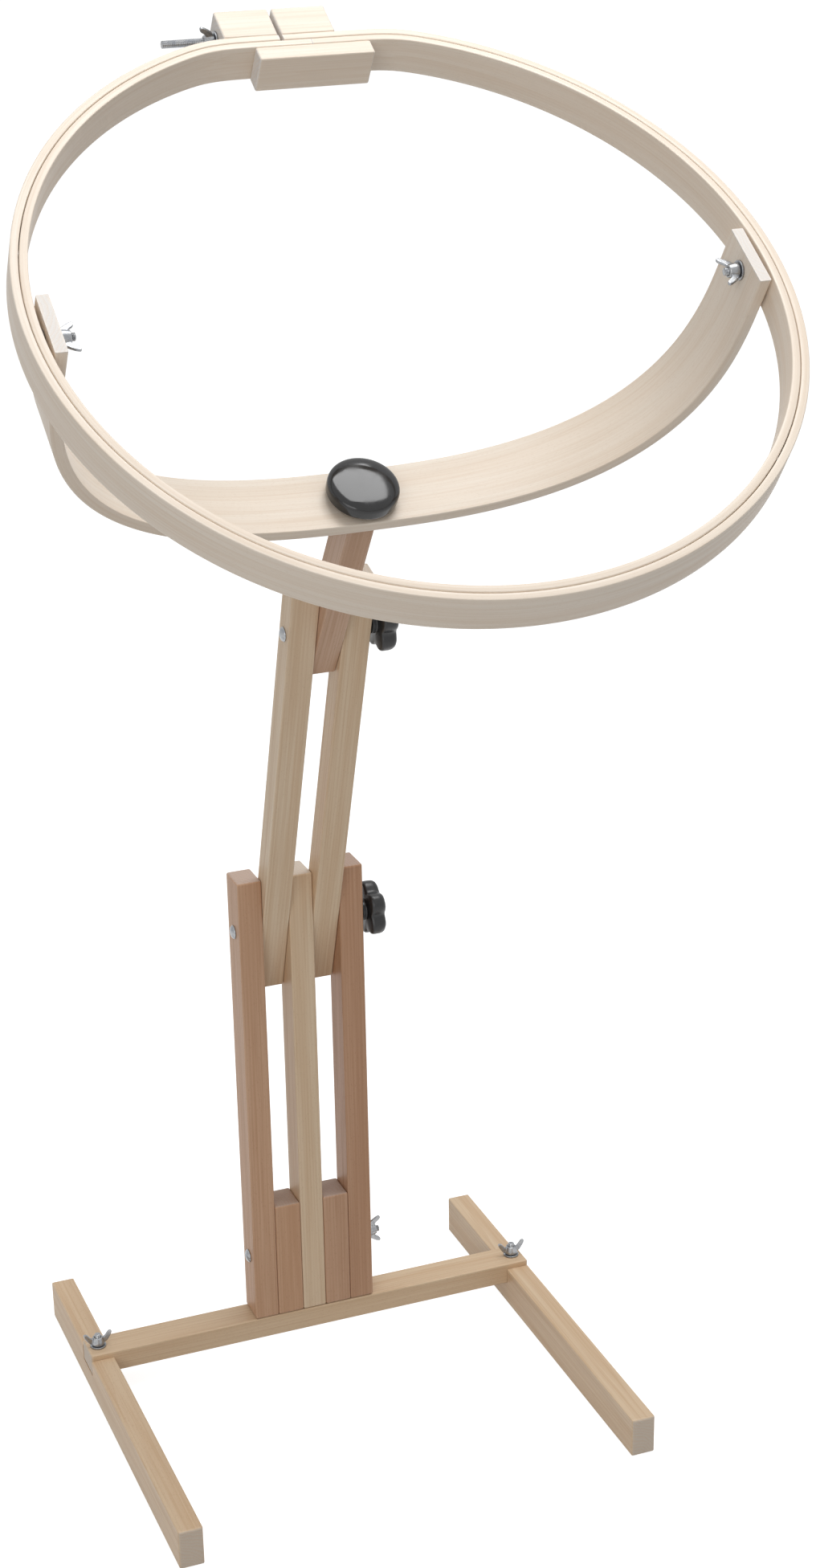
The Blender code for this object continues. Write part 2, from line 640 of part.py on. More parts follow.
def strip_ring_mesh(name, inner_radius, outer_radius, angles, closed):
    """A bent strip, as high as the hoop, that follows the angles."""
    shape = bmesh.new()
    rows = []
    for angle in angles:
        corners = []
        for radius, side in (
            (inner_radius, -1), (outer_radius, -1), (outer_radius, 1), (inner_radius, 1)
        ):
            reach = ring_reach(radius, angle)
            place = (reach * math.cos(angle), reach * math.sin(angle), side * HOOP_HEIGHT / 2)
            corners.append(shape.verts.new(place))
        rows.append(corners)
    pairs = list(zip(rows, rows[1:]))
    if closed:
        pairs.append((rows[-1], rows[0]))
    else:
        shape.faces.new(rows[0])
        shape.faces.new(rows[-1])
    for one, other in pairs:
        for corner in range(4):
            following = (corner + 1) % 4
            shape.faces.new((one[corner], one[following], other[following], other[corner]))
    return mesh_from(name, shape)


def build_hoop(hoop_frame, wing_nut):
    """The inner ring with its block and pivot bolts. Its frame lies on the pivot axis."""
    outer_face = INNER_RING_RADIUS + RING_THICKNESS
    angles = [2 * math.pi * step / RING_STEPS for step in range(RING_STEPS)]
    mesh = strip_ring_mesh("inner_ring", INNER_RING_RADIUS, outer_face, angles, True)
    ring = add_object("inner_ring", mesh, "pale_wood", hoop_frame)
    ease_edges(ring, STRIP_EDGE)
    board(
        "joint_block", (JOINT_BLOCK_LENGTH, JOINT_BLOCK_DEPTH, HOOP_HEIGHT),
        (JOINT_BLOCK_X, FLAT_INNER_Y - TOUCH - JOINT_BLOCK_DEPTH / 2, 0),
        "pale_wood", hoop_frame, BLOCK_EDGE,
    )
    hole = BOLT_RADIUS + HOLE_CLEARANCE
    head_face = outer_face - FLAT_HEAD_SINK
    for name, side, axis in (("left", -1, "+X"), ("right", 1, "-X")):
        head = (FLAT_HEAD_RADIUS + HOLE_CLEARANCE, FLAT_HEAD_HEIGHT)
        drill(ring, f"ring_hole_{name}", hole, (side * head_face, 0, 0),
              2 * RING_THICKNESS, axis, head)
        spacer_x = YOKE_HALF_SPAN + TOUCH
        washer(f"hoop_spacer_{name}", hoop_frame,
               (side * (spacer_x + HOOP_SPACER_THICKNESS), 0, 0), axis, HOOP_SPACER_THICKNESS)
        washer_x = YOKE_HALF_SPAN - YOKE_THICKNESS - TOUCH
        washer(f"hoop_washer_{name}", hoop_frame, (side * washer_x, 0, 0), axis)
        nut_x = washer_x - WASHER_THICKNESS - TOUCH
        add_object(f"hoop_wing_nut_{name}", wing_nut, "zinc", hoop_frame,
                   (side * nut_x, 0, 0), ALONG_CROSSWISE[axis])
        bolt_length = head_face - nut_x + WING_HUB_HEIGHT + BOLT_STUB
        bolt = turned_mesh(f"hoop_bolt_{name}", [
            (0, 0, 0),
            (FLAT_HEAD_RADIUS, 0, 0),
            (BOLT_RADIUS, FLAT_HEAD_HEIGHT, 0),
            (BOLT_RADIUS, bolt_length, 0),
            (0, bolt_length, 0),
        ])
        add_object(f"hoop_bolt_{name}", bolt, "zinc", hoop_frame,
                   (side * head_face, 0, 0), ALONG[axis])


def build_outer_ring(hoop_frame, wing_nut):
    """The split ring and the clamp that closes it."""
    inner_face = INNER_RING_RADIUS + RING_THICKNESS + RING_GAP
    split = math.pi / 2 - SPLIT_X / FLAT_OUTER_Y
    half_split = SPLIT_WIDTH / 2 / FLAT_OUTER_Y
    step = 2 * math.pi / RING_STEPS
    start = split + half_split
    end = split - half_split + 2 * math.pi
    angles = [start]
    angles += [index * step for index in range(2 * RING_STEPS) if start < index * step < end]
    angles.append(end)
    mesh = strip_ring_mesh("outer_ring", inner_face, RING_OUTER_RADIUS, angles, False)
    ring = add_object("outer_ring", mesh, "pale_wood", hoop_frame)
    ease_edges(ring, STRIP_EDGE)
    block_y = FLAT_OUTER_Y + TOUCH + CLAMP_BLOCK_DEPTH / 2
    bolt_y = FLAT_OUTER_Y + CLAMP_BOLT_INSET
    for name, side in (("left", -1), ("right", 1)):
        x = SPLIT_X + side * (SPLIT_WIDTH + CLAMP_BLOCK_LENGTH) / 2
        block = board(
            f"clamp_block_{name}", (CLAMP_BLOCK_LENGTH, CLAMP_BLOCK_DEPTH, HOOP_HEIGHT),
            (x, block_y, 0), "pale_wood", hoop_frame, BLOCK_EDGE,
        )
        drill(block, f"clamp_hole_{name}", BOLT_RADIUS + HOLE_CLEARANCE,
              (x - CLAMP_BLOCK_LENGTH / 2, bolt_y, 0), CLAMP_BLOCK_LENGTH, "+X")
        if side > 0:
            square_pocket(block, "clamp_square", (x + CLAMP_BLOCK_LENGTH / 2, bolt_y, 0), -1)
    left_face = SPLIT_X - SPLIT_WIDTH / 2 - CLAMP_BLOCK_LENGTH
    right_face = SPLIT_X + SPLIT_WIDTH / 2 + CLAMP_BLOCK_LENGTH
    carriage_bolt("clamp_bolt", hoop_frame, (right_face, bolt_y, 0),
                  right_face - left_face + CLAMP_BOLT_TAIL, "-X")
    washer_x = left_face - TOUCH
    washer("clamp_washer", hoop_frame, (washer_x, bolt_y, 0), "-X")
    nut_x = washer_x - WASHER_THICKNESS - TOUCH
    add_object("clamp_wing_nut", wing_nut, "zinc", hoop_frame, (nut_x, bolt_y, 0), ALONG["-X"])


def main():
    clear_scene()
    base = empty("stand_frame", location=(0, -CENTRE_Y, 0))
    arm_frame = empty("arm_frame", base, (0, 0, LOWER_PIVOT_Z), ARM_LEAN)
    neck_frame = empty("neck_frame", arm_frame, (0, 0, ARM_REACH), NECK_LEAN - ARM_LEAN)
    yoke_frame = empty("yoke_frame", neck_frame, (0, 0, NECK_REACH))
    hoop_frame = empty("hoop_frame", yoke_frame, (0, 0, HOOP_AXIS_REACH - NECK_REACH))
    wing_nut = wing_nut_mesh()
    build_base(base, wing_nut)
    build_arms(arm_frame)
    build_neck(neck_frame)
    build_yoke(yoke_frame)
    build_hoop(hoop_frame, wing_nut)
    build_outer_ring(hoop_frame, wing_nut)


main()
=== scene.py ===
"""The looks of an embroidery hoop on its floor stand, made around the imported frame.

Every piece stands for one CAD node and sits in that node's place, in metres.
"""

import json
import math

import bmesh
import bpy
import numpy as np
from mathutils import Matrix, Vector


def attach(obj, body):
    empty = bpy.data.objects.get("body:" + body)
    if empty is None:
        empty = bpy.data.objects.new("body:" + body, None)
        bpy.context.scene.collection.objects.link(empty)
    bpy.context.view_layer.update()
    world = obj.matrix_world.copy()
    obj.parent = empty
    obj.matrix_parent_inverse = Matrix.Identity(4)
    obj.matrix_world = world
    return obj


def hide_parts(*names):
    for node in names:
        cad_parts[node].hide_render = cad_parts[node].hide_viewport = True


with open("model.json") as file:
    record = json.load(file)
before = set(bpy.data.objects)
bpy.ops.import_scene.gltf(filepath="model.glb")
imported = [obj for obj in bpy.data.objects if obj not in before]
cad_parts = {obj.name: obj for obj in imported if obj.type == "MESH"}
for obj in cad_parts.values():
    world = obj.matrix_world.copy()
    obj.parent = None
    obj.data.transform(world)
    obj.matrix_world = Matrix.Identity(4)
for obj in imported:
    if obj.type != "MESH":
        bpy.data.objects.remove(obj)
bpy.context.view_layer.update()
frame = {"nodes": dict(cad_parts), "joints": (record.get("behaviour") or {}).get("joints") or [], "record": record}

bl_info = {
    "name": "Embroidery hoop on stand",
    "version": (1, 0, 0),
    "blender": (4, 5, 0),
    "location": "View3D > Sidebar > Hoop stand",
    "description": "Builds the timber, strips, knobs and hardware of a hoop on its floor stand",
    "category": "Object",
}

RECORD = frame["record"]
BODY_OF = {
    node: body for body, nodes in RECORD["behaviour"]["bodies"].items() for node in nodes
}
ANCHOR = {joint["name"]: Vector(joint["pos_m"]) for joint in frame["joints"]}

HOLE_CLEARANCE = 0.0003
BOLT_RADIUS = 0.003
STUD_RADIUS = 0.004
SCREW_RADIUS = 0.002
BOLT_CHAMFER = 0.12  # length of a bolt's chamfered end, as a share of its radius
BOLT_HEAD_HEIGHT = 0.003
SQUARE_NECK = 0.0062  # across the flats under a carriage bolt's head
PULL_OUT = 0.004  # how far a pocket's cutter starts outside the wood
OVERRUN = 0.002  # how far any other cutter passes the faces it opens
RING_RISE = 0.05  # least sine of the angle at which a ring's straight stretch is worked out
RING_BLEND = 0.008  # how softly a ring's straight stretch runs into its round one
ROUND_STEPS = 48
ROD_STEPS = 32
WASHER_STEPS = 56
KNOB_STEPS = 160
MERGE_DISTANCE = 1e-7
FLAT_FACE_AREA = 4e-5  # square metres above which a board's face is shaded flat


def axes_at(origin, up):
    """A place whose Z runs along up and whose X is the stand's X."""
    z = up.normalized()
    x = Vector((1, 0, 0))
    y = z.cross(x)
    place = Matrix((x, y, z)).transposed().to_4x4()
    place.translation = origin
    return place


LOWER_PIVOT = ANCHOR["arm_tilt"]
UPPER_PIVOT = ANCHOR["neck_tilt"]
HOOP_PIVOT = ANCHOR["hoop_tilt"]
STAND = Matrix.Translation((0, LOWER_PIVOT.y, 0))
ARMS = axes_at(LOWER_PIVOT, UPPER_PIVOT - LOWER_PIVOT)
NECK = axes_at(UPPER_PIVOT, HOOP_PIVOT - UPPER_PIVOT)
HOOP = axes_at(HOOP_PIVOT, HOOP_PIVOT - UPPER_PIVOT)


def extent(node, place):
    """A CAD node's lowest and highest corners in a place's own axes."""
    undo = place.inverted()
    points = [undo @ vertex.co for vertex in frame["nodes"][node].data.vertices]
    low = Vector(min(point[axis] for point in points) for axis in range(3))
    high = Vector(max(point[axis] for point in points) for axis in range(3))
    return low, high


# ---------------------------------------------------------------- settings


class HoopTimberSettings(bpy.types.PropertyGroup):
    edge: bpy.props.FloatProperty(
        name="Long edge rounding", description="Radius of a board's long edges",
        default=0.0012, min=0.0002, max=0.004, unit="LENGTH", precision=4,
    )
    end_edge: bpy.props.FloatProperty(
        name="End edge rounding", description="Radius of the edges round a board's ends",
        default=0.002, min=0.0002, max=0.006, unit="LENGTH", precision=4,
    )
    strip_edge: bpy.props.FloatProperty(
        name="Strip edge rounding", description="Radius of the bent strips' edges",
        default=0.0009, min=0.0002, max=0.0025, unit="LENGTH", precision=4,
    )
    strip_steps: bpy.props.IntProperty(
        name="Strip steps", description="Points along a bent strip", default=288, min=64, max=800,
    )
    pale: bpy.props.FloatVectorProperty(
        name="Pale wood", description="Colour of the hoop and the yoke",
        default=(0.84, 0.745, 0.635), min=0, max=1, size=3, subtype="COLOR",
    )
    light: bpy.props.FloatVectorProperty(
        name="Light wood", description="Colour of the feet, crossbar, middle post and arms",
        default=(0.74, 0.575, 0.40), min=0, max=1, size=3, subtype="COLOR",
    )
    red: bpy.props.FloatVectorProperty(
        name="Red wood", description="Colour of the outer posts, spacers and neck",
        default=(0.61, 0.385, 0.245), min=0, max=1, size=3, subtype="COLOR",
    )


class HoopHardwareSettings(bpy.types.PropertyGroup):
    pitch: bpy.props.FloatProperty(
        name="Thread pitch", description="Distance from one turn of the thread to the next",
        default=0.001, min=0.0005, max=0.003, unit="LENGTH", precision=4,
    )
    depth: bpy.props.FloatProperty(
        name="Thread depth", description="How deep the thread is cut",
        default=0.0004, min=0, max=0.001, unit="LENGTH", precision=4,
    )
    zinc: bpy.props.FloatVectorProperty(
        name="Zinc", description="Colour of the plated steel",
        default=(0.36, 0.365, 0.37), min=0, max=1, size=3, subtype="COLOR",
    )
    brass: bpy.props.FloatVectorProperty(
        name="Brass", description="Colour of the knobs' inserts",
        default=(0.72, 0.54, 0.24), min=0, max=1, size=3, subtype="COLOR",
    )


class HoopKnobSettings(bpy.types.PropertyGroup):
    lobes: bpy.props.IntProperty(
        name="Lobes", description="Lobes round a tightening knob", default=5, min=3, max=9,
    )
    lobe_depth: bpy.props.FloatProperty(
        name="Lobe depth", description="Share of the radius that a hollow goes in",
        default=0.12, min=0, max=0.3, subtype="FACTOR",
    )
    black: bpy.props.FloatVectorProperty(
        name="Black plastic", description="Colour of the knobs",
        default=(0.012, 0.012, 0.013), min=0, max=1, size=3, subtype="COLOR",
    )


class HoopStageSettings(bpy.types.PropertyGroup):
    floor: bpy.props.FloatVectorProperty(
        name="Floor", description="Colour of the floor", default=(0.5, 0.5, 0.5),
        min=0, max=1, size=3, subtype="COLOR",
    )
    overhead: bpy.props.FloatProperty(
        name="Overhead light", description="Power of the softbox above the hoop",
        default=36.0, min=0, unit="POWER",
    )
    front: bpy.props.FloatProperty(
        name="Front light", description="Power of the softbox in front, on the left",
        default=34.0, min=0, unit="POWER",
    )
    room: bpy.props.FloatProperty(
        name="Room light", description="Strength of the light from all sides",
        default=0.42, min=0, max=2,
    )
    camera_place: bpy.props.FloatVectorProperty(
        name="Camera place", description="Where the camera stands",
        default=(-0.6735, -1.7820, 1.3723), size=3, subtype="TRANSLATION", unit="LENGTH",
    )
    lens: bpy.props.FloatProperty(
        name="Lens", description="Focal length in millimetres", default=58.542, min=20, max=200,
    )


SETTINGS = {
    "hoop_timber": HoopTimberSettings,
    "hoop_hardware": HoopHardwareSettings,
    "hoop_knobs": HoopKnobSettings,
    "hoop_stage": HoopStageSettings,
}


# ---------------------------------------------------------------- node trees


class Graph:
    """Adds nodes to a tree and joins them."""

    def __init__(self, tree):
        self.tree = tree

    def node(self, kind, inputs=None, **settings):
        made = self.tree.nodes.new(kind)
        for key, value in settings.items():
            setattr(made, key, value)
        for key, value in (inputs or {}).items():
            self.feed(made.inputs[key], value)
        return made

    def feed(self, socket, value):
        if isinstance(value, bpy.types.NodeSocket):
            self.tree.links.new(value, socket)
        else:
            socket.default_value = value

    def maths(self, operation, *values, clamp=False):
        inputs = dict(enumerate(values))
        return self.node("ShaderNodeMath", inputs, operation=operation, use_clamp=clamp).outputs[0]

    def vector(self, operation, *values, out=0):
        inputs = dict(enumerate(values))
        return self.node("ShaderNodeVectorMath", inputs, operation=operation).outputs[out]

    def remap(self, value, low, high, to_low=0.0, to_high=1.0):
        """The value from low..high to to_low..to_high, smoothed and kept inside."""
        inputs = {"Value": value, "From Min": low, "From Max": high}
        inputs.update({"To Min": to_low, "To Max": to_high})
        return self.node("ShaderNodeMapRange", inputs, interpolation_type="SMOOTHSTEP").outputs[0]

    def noise(self, vector, scale=1.0, detail=2.0, roughness=0.5):
        inputs = {"Vector": vector, "Scale": scale, "Detail": detail, "Roughness": roughness}
        return self.node("ShaderNodeTexNoise", inputs).outputs[0]

    def mix(self, share, one, other, blend="MIX"):
        """A colour between one and other."""
        made = self.node("ShaderNodeMix", data_type="RGBA", blend_type=blend)
        self.feed(made.inputs[0], share)
        self.feed(made.inputs[6], one)
        self.feed(made.inputs[7], other)
        return made.outputs[2]

    def dress(self, shader, colour, rough, height, strength, distance):
        """Gives a shader its colour, its roughness and its relief."""
        relief = {"Height": height, "Strength": strength, "Distance": distance}
        self.feed(shader.inputs["Base Color"], colour)
        self.feed(shader.inputs["Roughness"], rough)
        self.feed(shader.inputs["Normal"], self.node("ShaderNodeBump", relief).outputs[0])


def rgba(colour):
    return (*colour, 1.0)


def shaded(colour, share):
    """The colour times a share for each channel."""
    return (colour[0] * share[0], colour[1] * share[1], colour[2] * share[2], 1.0)


def new_material(name):
    """A material, its graph and its shader."""
    made = bpy.data.materials.new(name)
    made.use_nodes = True
    return made, Graph(made.node_tree), made.node_tree.nodes["Principled BSDF"]


def wood_material(name, colour, late, fleck, contrast):
    """Sanded beech: growth rings, grain lines, short flecks, end grain and handled edges.

    It reads a piece's grain (metres from its middle, Z along the grain), its half_size, its lot
    (a number that shifts the figure) and its tone. Noise scales are per metre.
    """
    made, graph, shader = new_material(name)
    read = {}
    for attribute in ("grain", "half_size", "lot", "tone"):
        read[attribute] = graph.node("ShaderNodeAttribute", attribute_name=attribute)
    grain = read["grain"].outputs["Vector"]
    lot = read["lot"].outputs["Fac"]
    shift = graph.node("ShaderNodeCombineXYZ", {
        "X": graph.maths("MULTIPLY", lot, 0.37),
        "Y": graph.maths("MULTIPLY", lot, 0.61),
        "Z": graph.maths("MULTIPLY", lot, 3.1),
    }).outputs[0]
    place = graph.vector("ADD", grain, shift)

    def along(across, length):
        return graph.vector("MULTIPLY", place, (across, across, length))

    # soft bands, their wander, grain lines and the fine tooth of sanded wood
    broad = graph.noise(along(105, 4.5), detail=2)
    warp = graph.noise(along(60, 2.2), detail=1)
    streak = graph.noise(along(620, 7), detail=3, roughness=0.6)
    fine = graph.noise(along(1500, 40), detail=1)

    # growth rings round a heart that lies outside the board
    heart = graph.vector("ADD", graph.vector("MULTIPLY", grain, (1, 1, 0.012)), (0.043, 0.021, 0))
    radius = graph.vector("LENGTH", heart, out=1)
    radius = graph.maths("ADD", radius, graph.maths("MULTIPLY", warp, 0.011))
    radius = graph.maths("ADD", radius, graph.maths("MULTIPLY", lot, 0.013))
    ring = graph.maths("FRACT", graph.maths("DIVIDE", radius, 0.0031))
    ring = graph.maths("POWER", ring, 2.2)

    # short dark flecks, in some of the cells only
    cells = graph.node("ShaderNodeTexVoronoi", {"Vector": along(820, 240), "Scale": 1.0})
    dash = graph.remap(cells.outputs["Distance"], 0.34, 0.12)
    chosen = graph.node("ShaderNodeSeparateColor", {0: cells.outputs["Color"]}).outputs[0]
    dash = graph.maths("MULTIPLY", dash, graph.remap(chosen, 0.45, 0.8))

    # distance to the nearest edge, for the sawn ends and the handled edges
    depth = graph.vector("SUBTRACT", read["half_size"].outputs["Vector"],
                         graph.vector("ABSOLUTE", grain))
    near = graph.node("ShaderNodeSeparateXYZ", {0: depth}).outputs
    least = graph.maths("MINIMUM", near[0], near[1])
    most = graph.maths("MAXIMUM", near[0], near[1])
    edge = graph.maths("MAXIMUM", least, graph.maths("MINIMUM", most, near[2]))
    end = graph.remap(near[2], 0.0011, 0.0004)
    patch = graph.noise(graph.vector("MULTIPLY", place, (90, 90, 40)), detail=3)
    handled = graph.maths("MULTIPLY", graph.remap(edge, 0.0022, 0.0003),
                          graph.remap(patch, 0.38, 0.62, 0.35, 1.0))

    dark = shaded(colour, late)
    figure = graph.maths("MULTIPLY", ring, 0.55 * contrast)
    figure = graph.maths("ADD", figure, graph.remap(streak, 0.42, 0.72, 0.0, 0.75 * contrast))
    figure = graph.maths("ADD", figure, graph.remap(broad, 0.34, 0.66, -0.1, 0.6 * contrast))
    body = graph.mix(graph.maths("MINIMUM", figure, 1.0, clamp=True), rgba(colour), dark)
    warm = graph.remap(graph.noise(along(48, 2.5), detail=1), 0.35, 0.65)
    body = graph.mix(graph.maths("MULTIPLY", warm, 0.35 * contrast), body,
                     shaded(colour, (0.97, 0.9, 0.84)))
    body = graph.mix(graph.maths("MULTIPLY", dash, 0.5 * contrast), body, shaded(colour, fleck))
    # a sawn end is greyer, with open pores
    pores = graph.remap(graph.noise(graph.vector("MULTIPLY", place, (2600, 2600, 50))), 0.5, 0.66)
    grey = sum(colour) / 3
    sawn = tuple((channel + grey) / 2 for channel in colour)
    cut_end = graph.mix(graph.maths("MULTIPLY", pores, 0.45), shaded(sawn, (1.0, 1.03, 1.08)),
                        shaded(sawn, (0.74, 0.74, 0.74)))
    cut_end = graph.mix(graph.maths("MULTIPLY", ring, 0.4), cut_end, dark)
    body = graph.mix(graph.maths("MULTIPLY", end, 0.85), body, cut_end)
    lighter = shaded(colour, (1.12, 1.14, 1.16))
    body = graph.mix(graph.maths("MULTIPLY", handled, 0.3), body, lighter)
    body = graph.mix(1.0, body, read["tone"].outputs["Color"], blend="MULTIPLY")

    rough = graph.remap(streak, 0.3, 0.7, 0.46, 0.6)
    rough = graph.maths("ADD", rough, graph.maths("MULTIPLY", end, 0.14))
    rough = graph.maths("SUBTRACT", rough, graph.maths("MULTIPLY", handled, 0.08))
    height = graph.maths("MULTIPLY", streak, 0.5)
    height = graph.maths("ADD", height, graph.maths("MULTIPLY", fine, 0.15))
    height = graph.maths("SUBTRACT", height, graph.maths("MULTIPLY", dash, 0.25))
    height = graph.maths("ADD", height, graph.maths("MULTIPLY", patch, 0.3))
    graph.dress(shader, body, rough, height, strength=0.22, distance=0.00022)
    shader.inputs["Coat Weight"].default_value = 0.12
    shader.inputs["Coat Roughness"].default_value = 0.35
    return made


def plastic_material(name, satin):
    """Moulded black plastic: satin with a fine grain, or glossy with light swirls."""
    black = bpy.context.scene.hoop_knobs.black
    made, graph, shader = new_material(name)
    place = graph.node("ShaderNodeTexCoord").outputs["Object"]
    grain = graph.noise(place, 2600 if satin else 700, 2)
    cloud = graph.noise(place, 70, 3)
    scuff = graph.noise(graph.vector("MULTIPLY", place, (3000, 260, 900)), 1.0, 2)
    scuff = graph.maths("MULTIPLY", graph.remap(scuff, 0.60, 0.74), graph.remap(cloud, 0.4, 0.65))
    body = graph.mix(graph.maths("MULTIPLY", scuff, 0.35), rgba(black), (0.05, 0.05, 0.052, 1))
    body = graph.mix(graph.maths("MULTIPLY", cloud, 0.3), body, (0.02, 0.02, 0.021, 1))
    base = 0.3 if satin else 0.07
    rough = graph.remap(cloud, 0.3, 0.7, base, base + 0.09)
    rough = graph.maths("ADD", rough, graph.maths("MULTIPLY", scuff, 0.2))
    strength = 0.12 if satin else 0.02
    graph.dress(shader, body, rough, grain, strength, distance=0.00015)
    return made


def metal_material(name, colour):
    """Plated steel or brass, slightly cloudy, with fine scratches."""
    made, graph, shader = new_material(name)
    place = graph.node("ShaderNodeTexCoord").outputs["Object"]
    cloud = graph.noise(place, 260, 3)
    pitted = graph.noise(place, 2400, 3)
    scratch = graph.noise(graph.vector("MULTIPLY", place, (5200, 700, 2600)), 1.0, 2)
    scratch = graph.remap(scratch, 0.58, 0.7)
    body = graph.mix(graph.remap(cloud, 0.35, 0.65), rgba(colour), shaded(colour, (0.8, 0.82, 0.86)))
    dull = graph.remap(pitted, 0.56, 0.74)
    body = graph.mix(graph.maths("MULTIPLY", dull, 0.5), body, shaded(colour, (0.5, 0.5, 0.52)))
    rough = graph.remap(cloud, 0.3, 0.7, 0.24, 0.38)
    rough = graph.maths("ADD", rough, graph.maths("MULTIPLY", dull, 0.15))
    rough = graph.maths("ADD", rough, graph.maths("MULTIPLY", scratch, 0.12))
    height = graph.maths("SUBTRACT", pitted, graph.maths("MULTIPLY", scratch, 0.4))
    graph.dress(shader, body, rough, height, strength=0.2, distance=0.00012)
    shader.inputs["Metallic"].default_value = 1.0
    return made


WOODS = {  # shade of the late wood, shade of the flecks, and strength of the figure
    "pale": ((0.9, 0.84, 0.78), (0.82, 0.74, 0.66), 0.6),
    "light": ((0.86, 0.78, 0.7), (0.74, 0.64, 0.55), 0.85),
    "red": ((0.81, 0.73, 0.66), (0.66, 0.55, 0.47), 1.0),
}
surfaces = {}


def surface(slot):
    """The slot's material, made once."""
    if slot in surfaces:
        return surfaces[slot]
    name = slot + "_surface"
    kind = slot.removesuffix("_wood")
    if kind in WOODS:
        colour = getattr(bpy.context.scene.hoop_timber, kind)
        made = wood_material(name, colour, *WOODS[kind])
    elif slot in ("zinc", "brass"):
        made = metal_material(name, getattr(bpy.context.scene.hoop_hardware, slot))
    else:
        made = plastic_material(name, satin=slot == "black_plastic")
    surfaces[slot] = made
    return made


# ---------------------------------------------------------------- meshes


def add_object(name, data):
    made = bpy.data.objects.new(name, data)
    bpy.context.scene.collection.objects.link(made)
    return made


def remove(*objects):
    for obj in objects:
        bpy.data.objects.remove(obj, do_unlink=True)


def plain_mesh(obj):
    """The object's mesh with its modifiers applied."""
    bpy.context.view_layer.update()
    graph = bpy.context.evaluated_depsgraph_get()
    mesh = bpy.data.meshes.new_from_object(obj.evaluated_get(graph))
    mesh.name = obj.name
    return mesh


def rounded(points):
    """A turned profile from (radius, height, rounding) corners, each corner rounded."""
    made = []
    last = len(points) - 1
    for index, (radius, height, size) in enumerate(points):
        corner = Vector((radius, height))
        if size == 0 or index in (0, last):
            made.append(corner)
            continue
        before = Vector(points[index - 1][:2]) - corner
        after = Vector(points[index + 1][:2]) - corner
        reach = min(size, before.length * 0.49, after.length * 0.49)
        start = corner + before.normalized() * reach
        stop = corner + after.normalized() * reach
        for step in range(5):
            share = step / 4
            made.append(start.lerp(corner, share).lerp(corner.lerp(stop, share), share))
    return [(point.x, point.y) for point in made]


def turned(profile, steps=ROUND_STEPS, closed=False, lobes=0, depth=0.0):
    """A turned shape about Z, from (radius, height) points or (radius, height, lobe share).

    A closed profile leaves a bore. A hollow between two lobes faces -Y.
    """
    shape = bmesh.new()
    rows = []
    for point in profile:
        radius, height = point[:2]
        share = depth * point[2] if len(point) > 2 else 0.0
        if radius < MERGE_DISTANCE:
            rows.append([shape.verts.new((0, 0, height))])
            continue
        row = []
        for step in range(steps):
            angle = 2 * math.pi * step / steps
            hollow = ((1 + math.cos(lobes * (angle + math.pi / 2))) / 2) ** 1.7
            reach = radius * (1 - share * hollow)
            row.append(shape.verts.new((reach * math.cos(angle), reach * math.sin(angle), height)))
        rows.append(row)
    pairs = list(zip(rows, rows[1:]))
    if closed:
        pairs.append((rows[-1], rows[0]))
    for low, high in pairs:
        for step in range(steps):
            following = (step + 1) % steps
            corners = [low[step % len(low)], low[following % len(low)]]
            corners += [high[following % len(high)], high[step % len(high)]]
            corners = list(dict.fromkeys(corners))
            if len(corners) > 2:
                shape.faces.new(corners)
    return mesh_from(shape, "turned")


def mesh_from(shape, name):
    bmesh.ops.remove_doubles(shape, verts=shape.verts, dist=MERGE_DISTANCE)
    bmesh.ops.recalc_face_normals(shape, faces=shape.faces)
    mesh = bpy.data.meshes.new(name)
    shape.to_mesh(mesh)
    shape.free()
    return mesh


def shade(mesh, angle=40):
    """Round parts smooth, large flat faces flat."""
    mesh.shade_smooth()
    mesh.set_sharp_from_angle(angle=math.radians(angle))


TURN = {
    "Z": Matrix.Identity(4),
    "X": Matrix.Rotation(math.pi / 2, 4, "Y"),
    "-X": Matrix.Rotation(-math.pi / 2, 4, "Y"),
}


def hole(place, start, length, radius, axis="X", flare=0.0004):
    """A cutter for a drilled hole, in world axes, with its rims eased."""
    inner = radius + HOLE_CLEARANCE
    profile = [(0, -OVERRUN), (inner + flare + OVERRUN, -OVERRUN), (inner, flare)]
    profile += [(inner, length - flare), (inner + flare + OVERRUN, length + OVERRUN)]
    profile += [(0, length + OVERRUN)]
    mesh = turned(profile)
    mesh.transform(place @ Matrix.Translation(start) @ TURN[axis])
    return add_object("cutter", mesh)


def block_cutter(place, low, high):
    """A square-cornered cutter, in world axes."""
    shape = bmesh.new()
    size = Vector(high) - Vector(low)
    centre = (Vector(high) + Vector(low)) / 2
    bmesh.ops.create_cube(shape, size=1.0, matrix=Matrix.Translation(centre)
                          @ Matrix.Diagonal((*size, 1.0)))
    mesh = mesh_from(shape, "block_cutter")
    mesh.transform(place)
    return add_object("cutter", mesh)


def boolean(obj, other, operation):
    """Adds a Boolean of the object with another."""
    modifier = obj.modifiers.new(other.name, "BOOLEAN")
    modifier.operation = operation
    modifier.solver = "EXACT"
    modifier.object = other


def cut(obj, cutters):
    """Takes the cutters out of the object and returns the plain mesh."""
    for cutter in cutters:
        boolean(obj, cutter, "DIFFERENCE")
    mesh = plain_mesh(obj)
    remove(obj, *cutters)
    return mesh


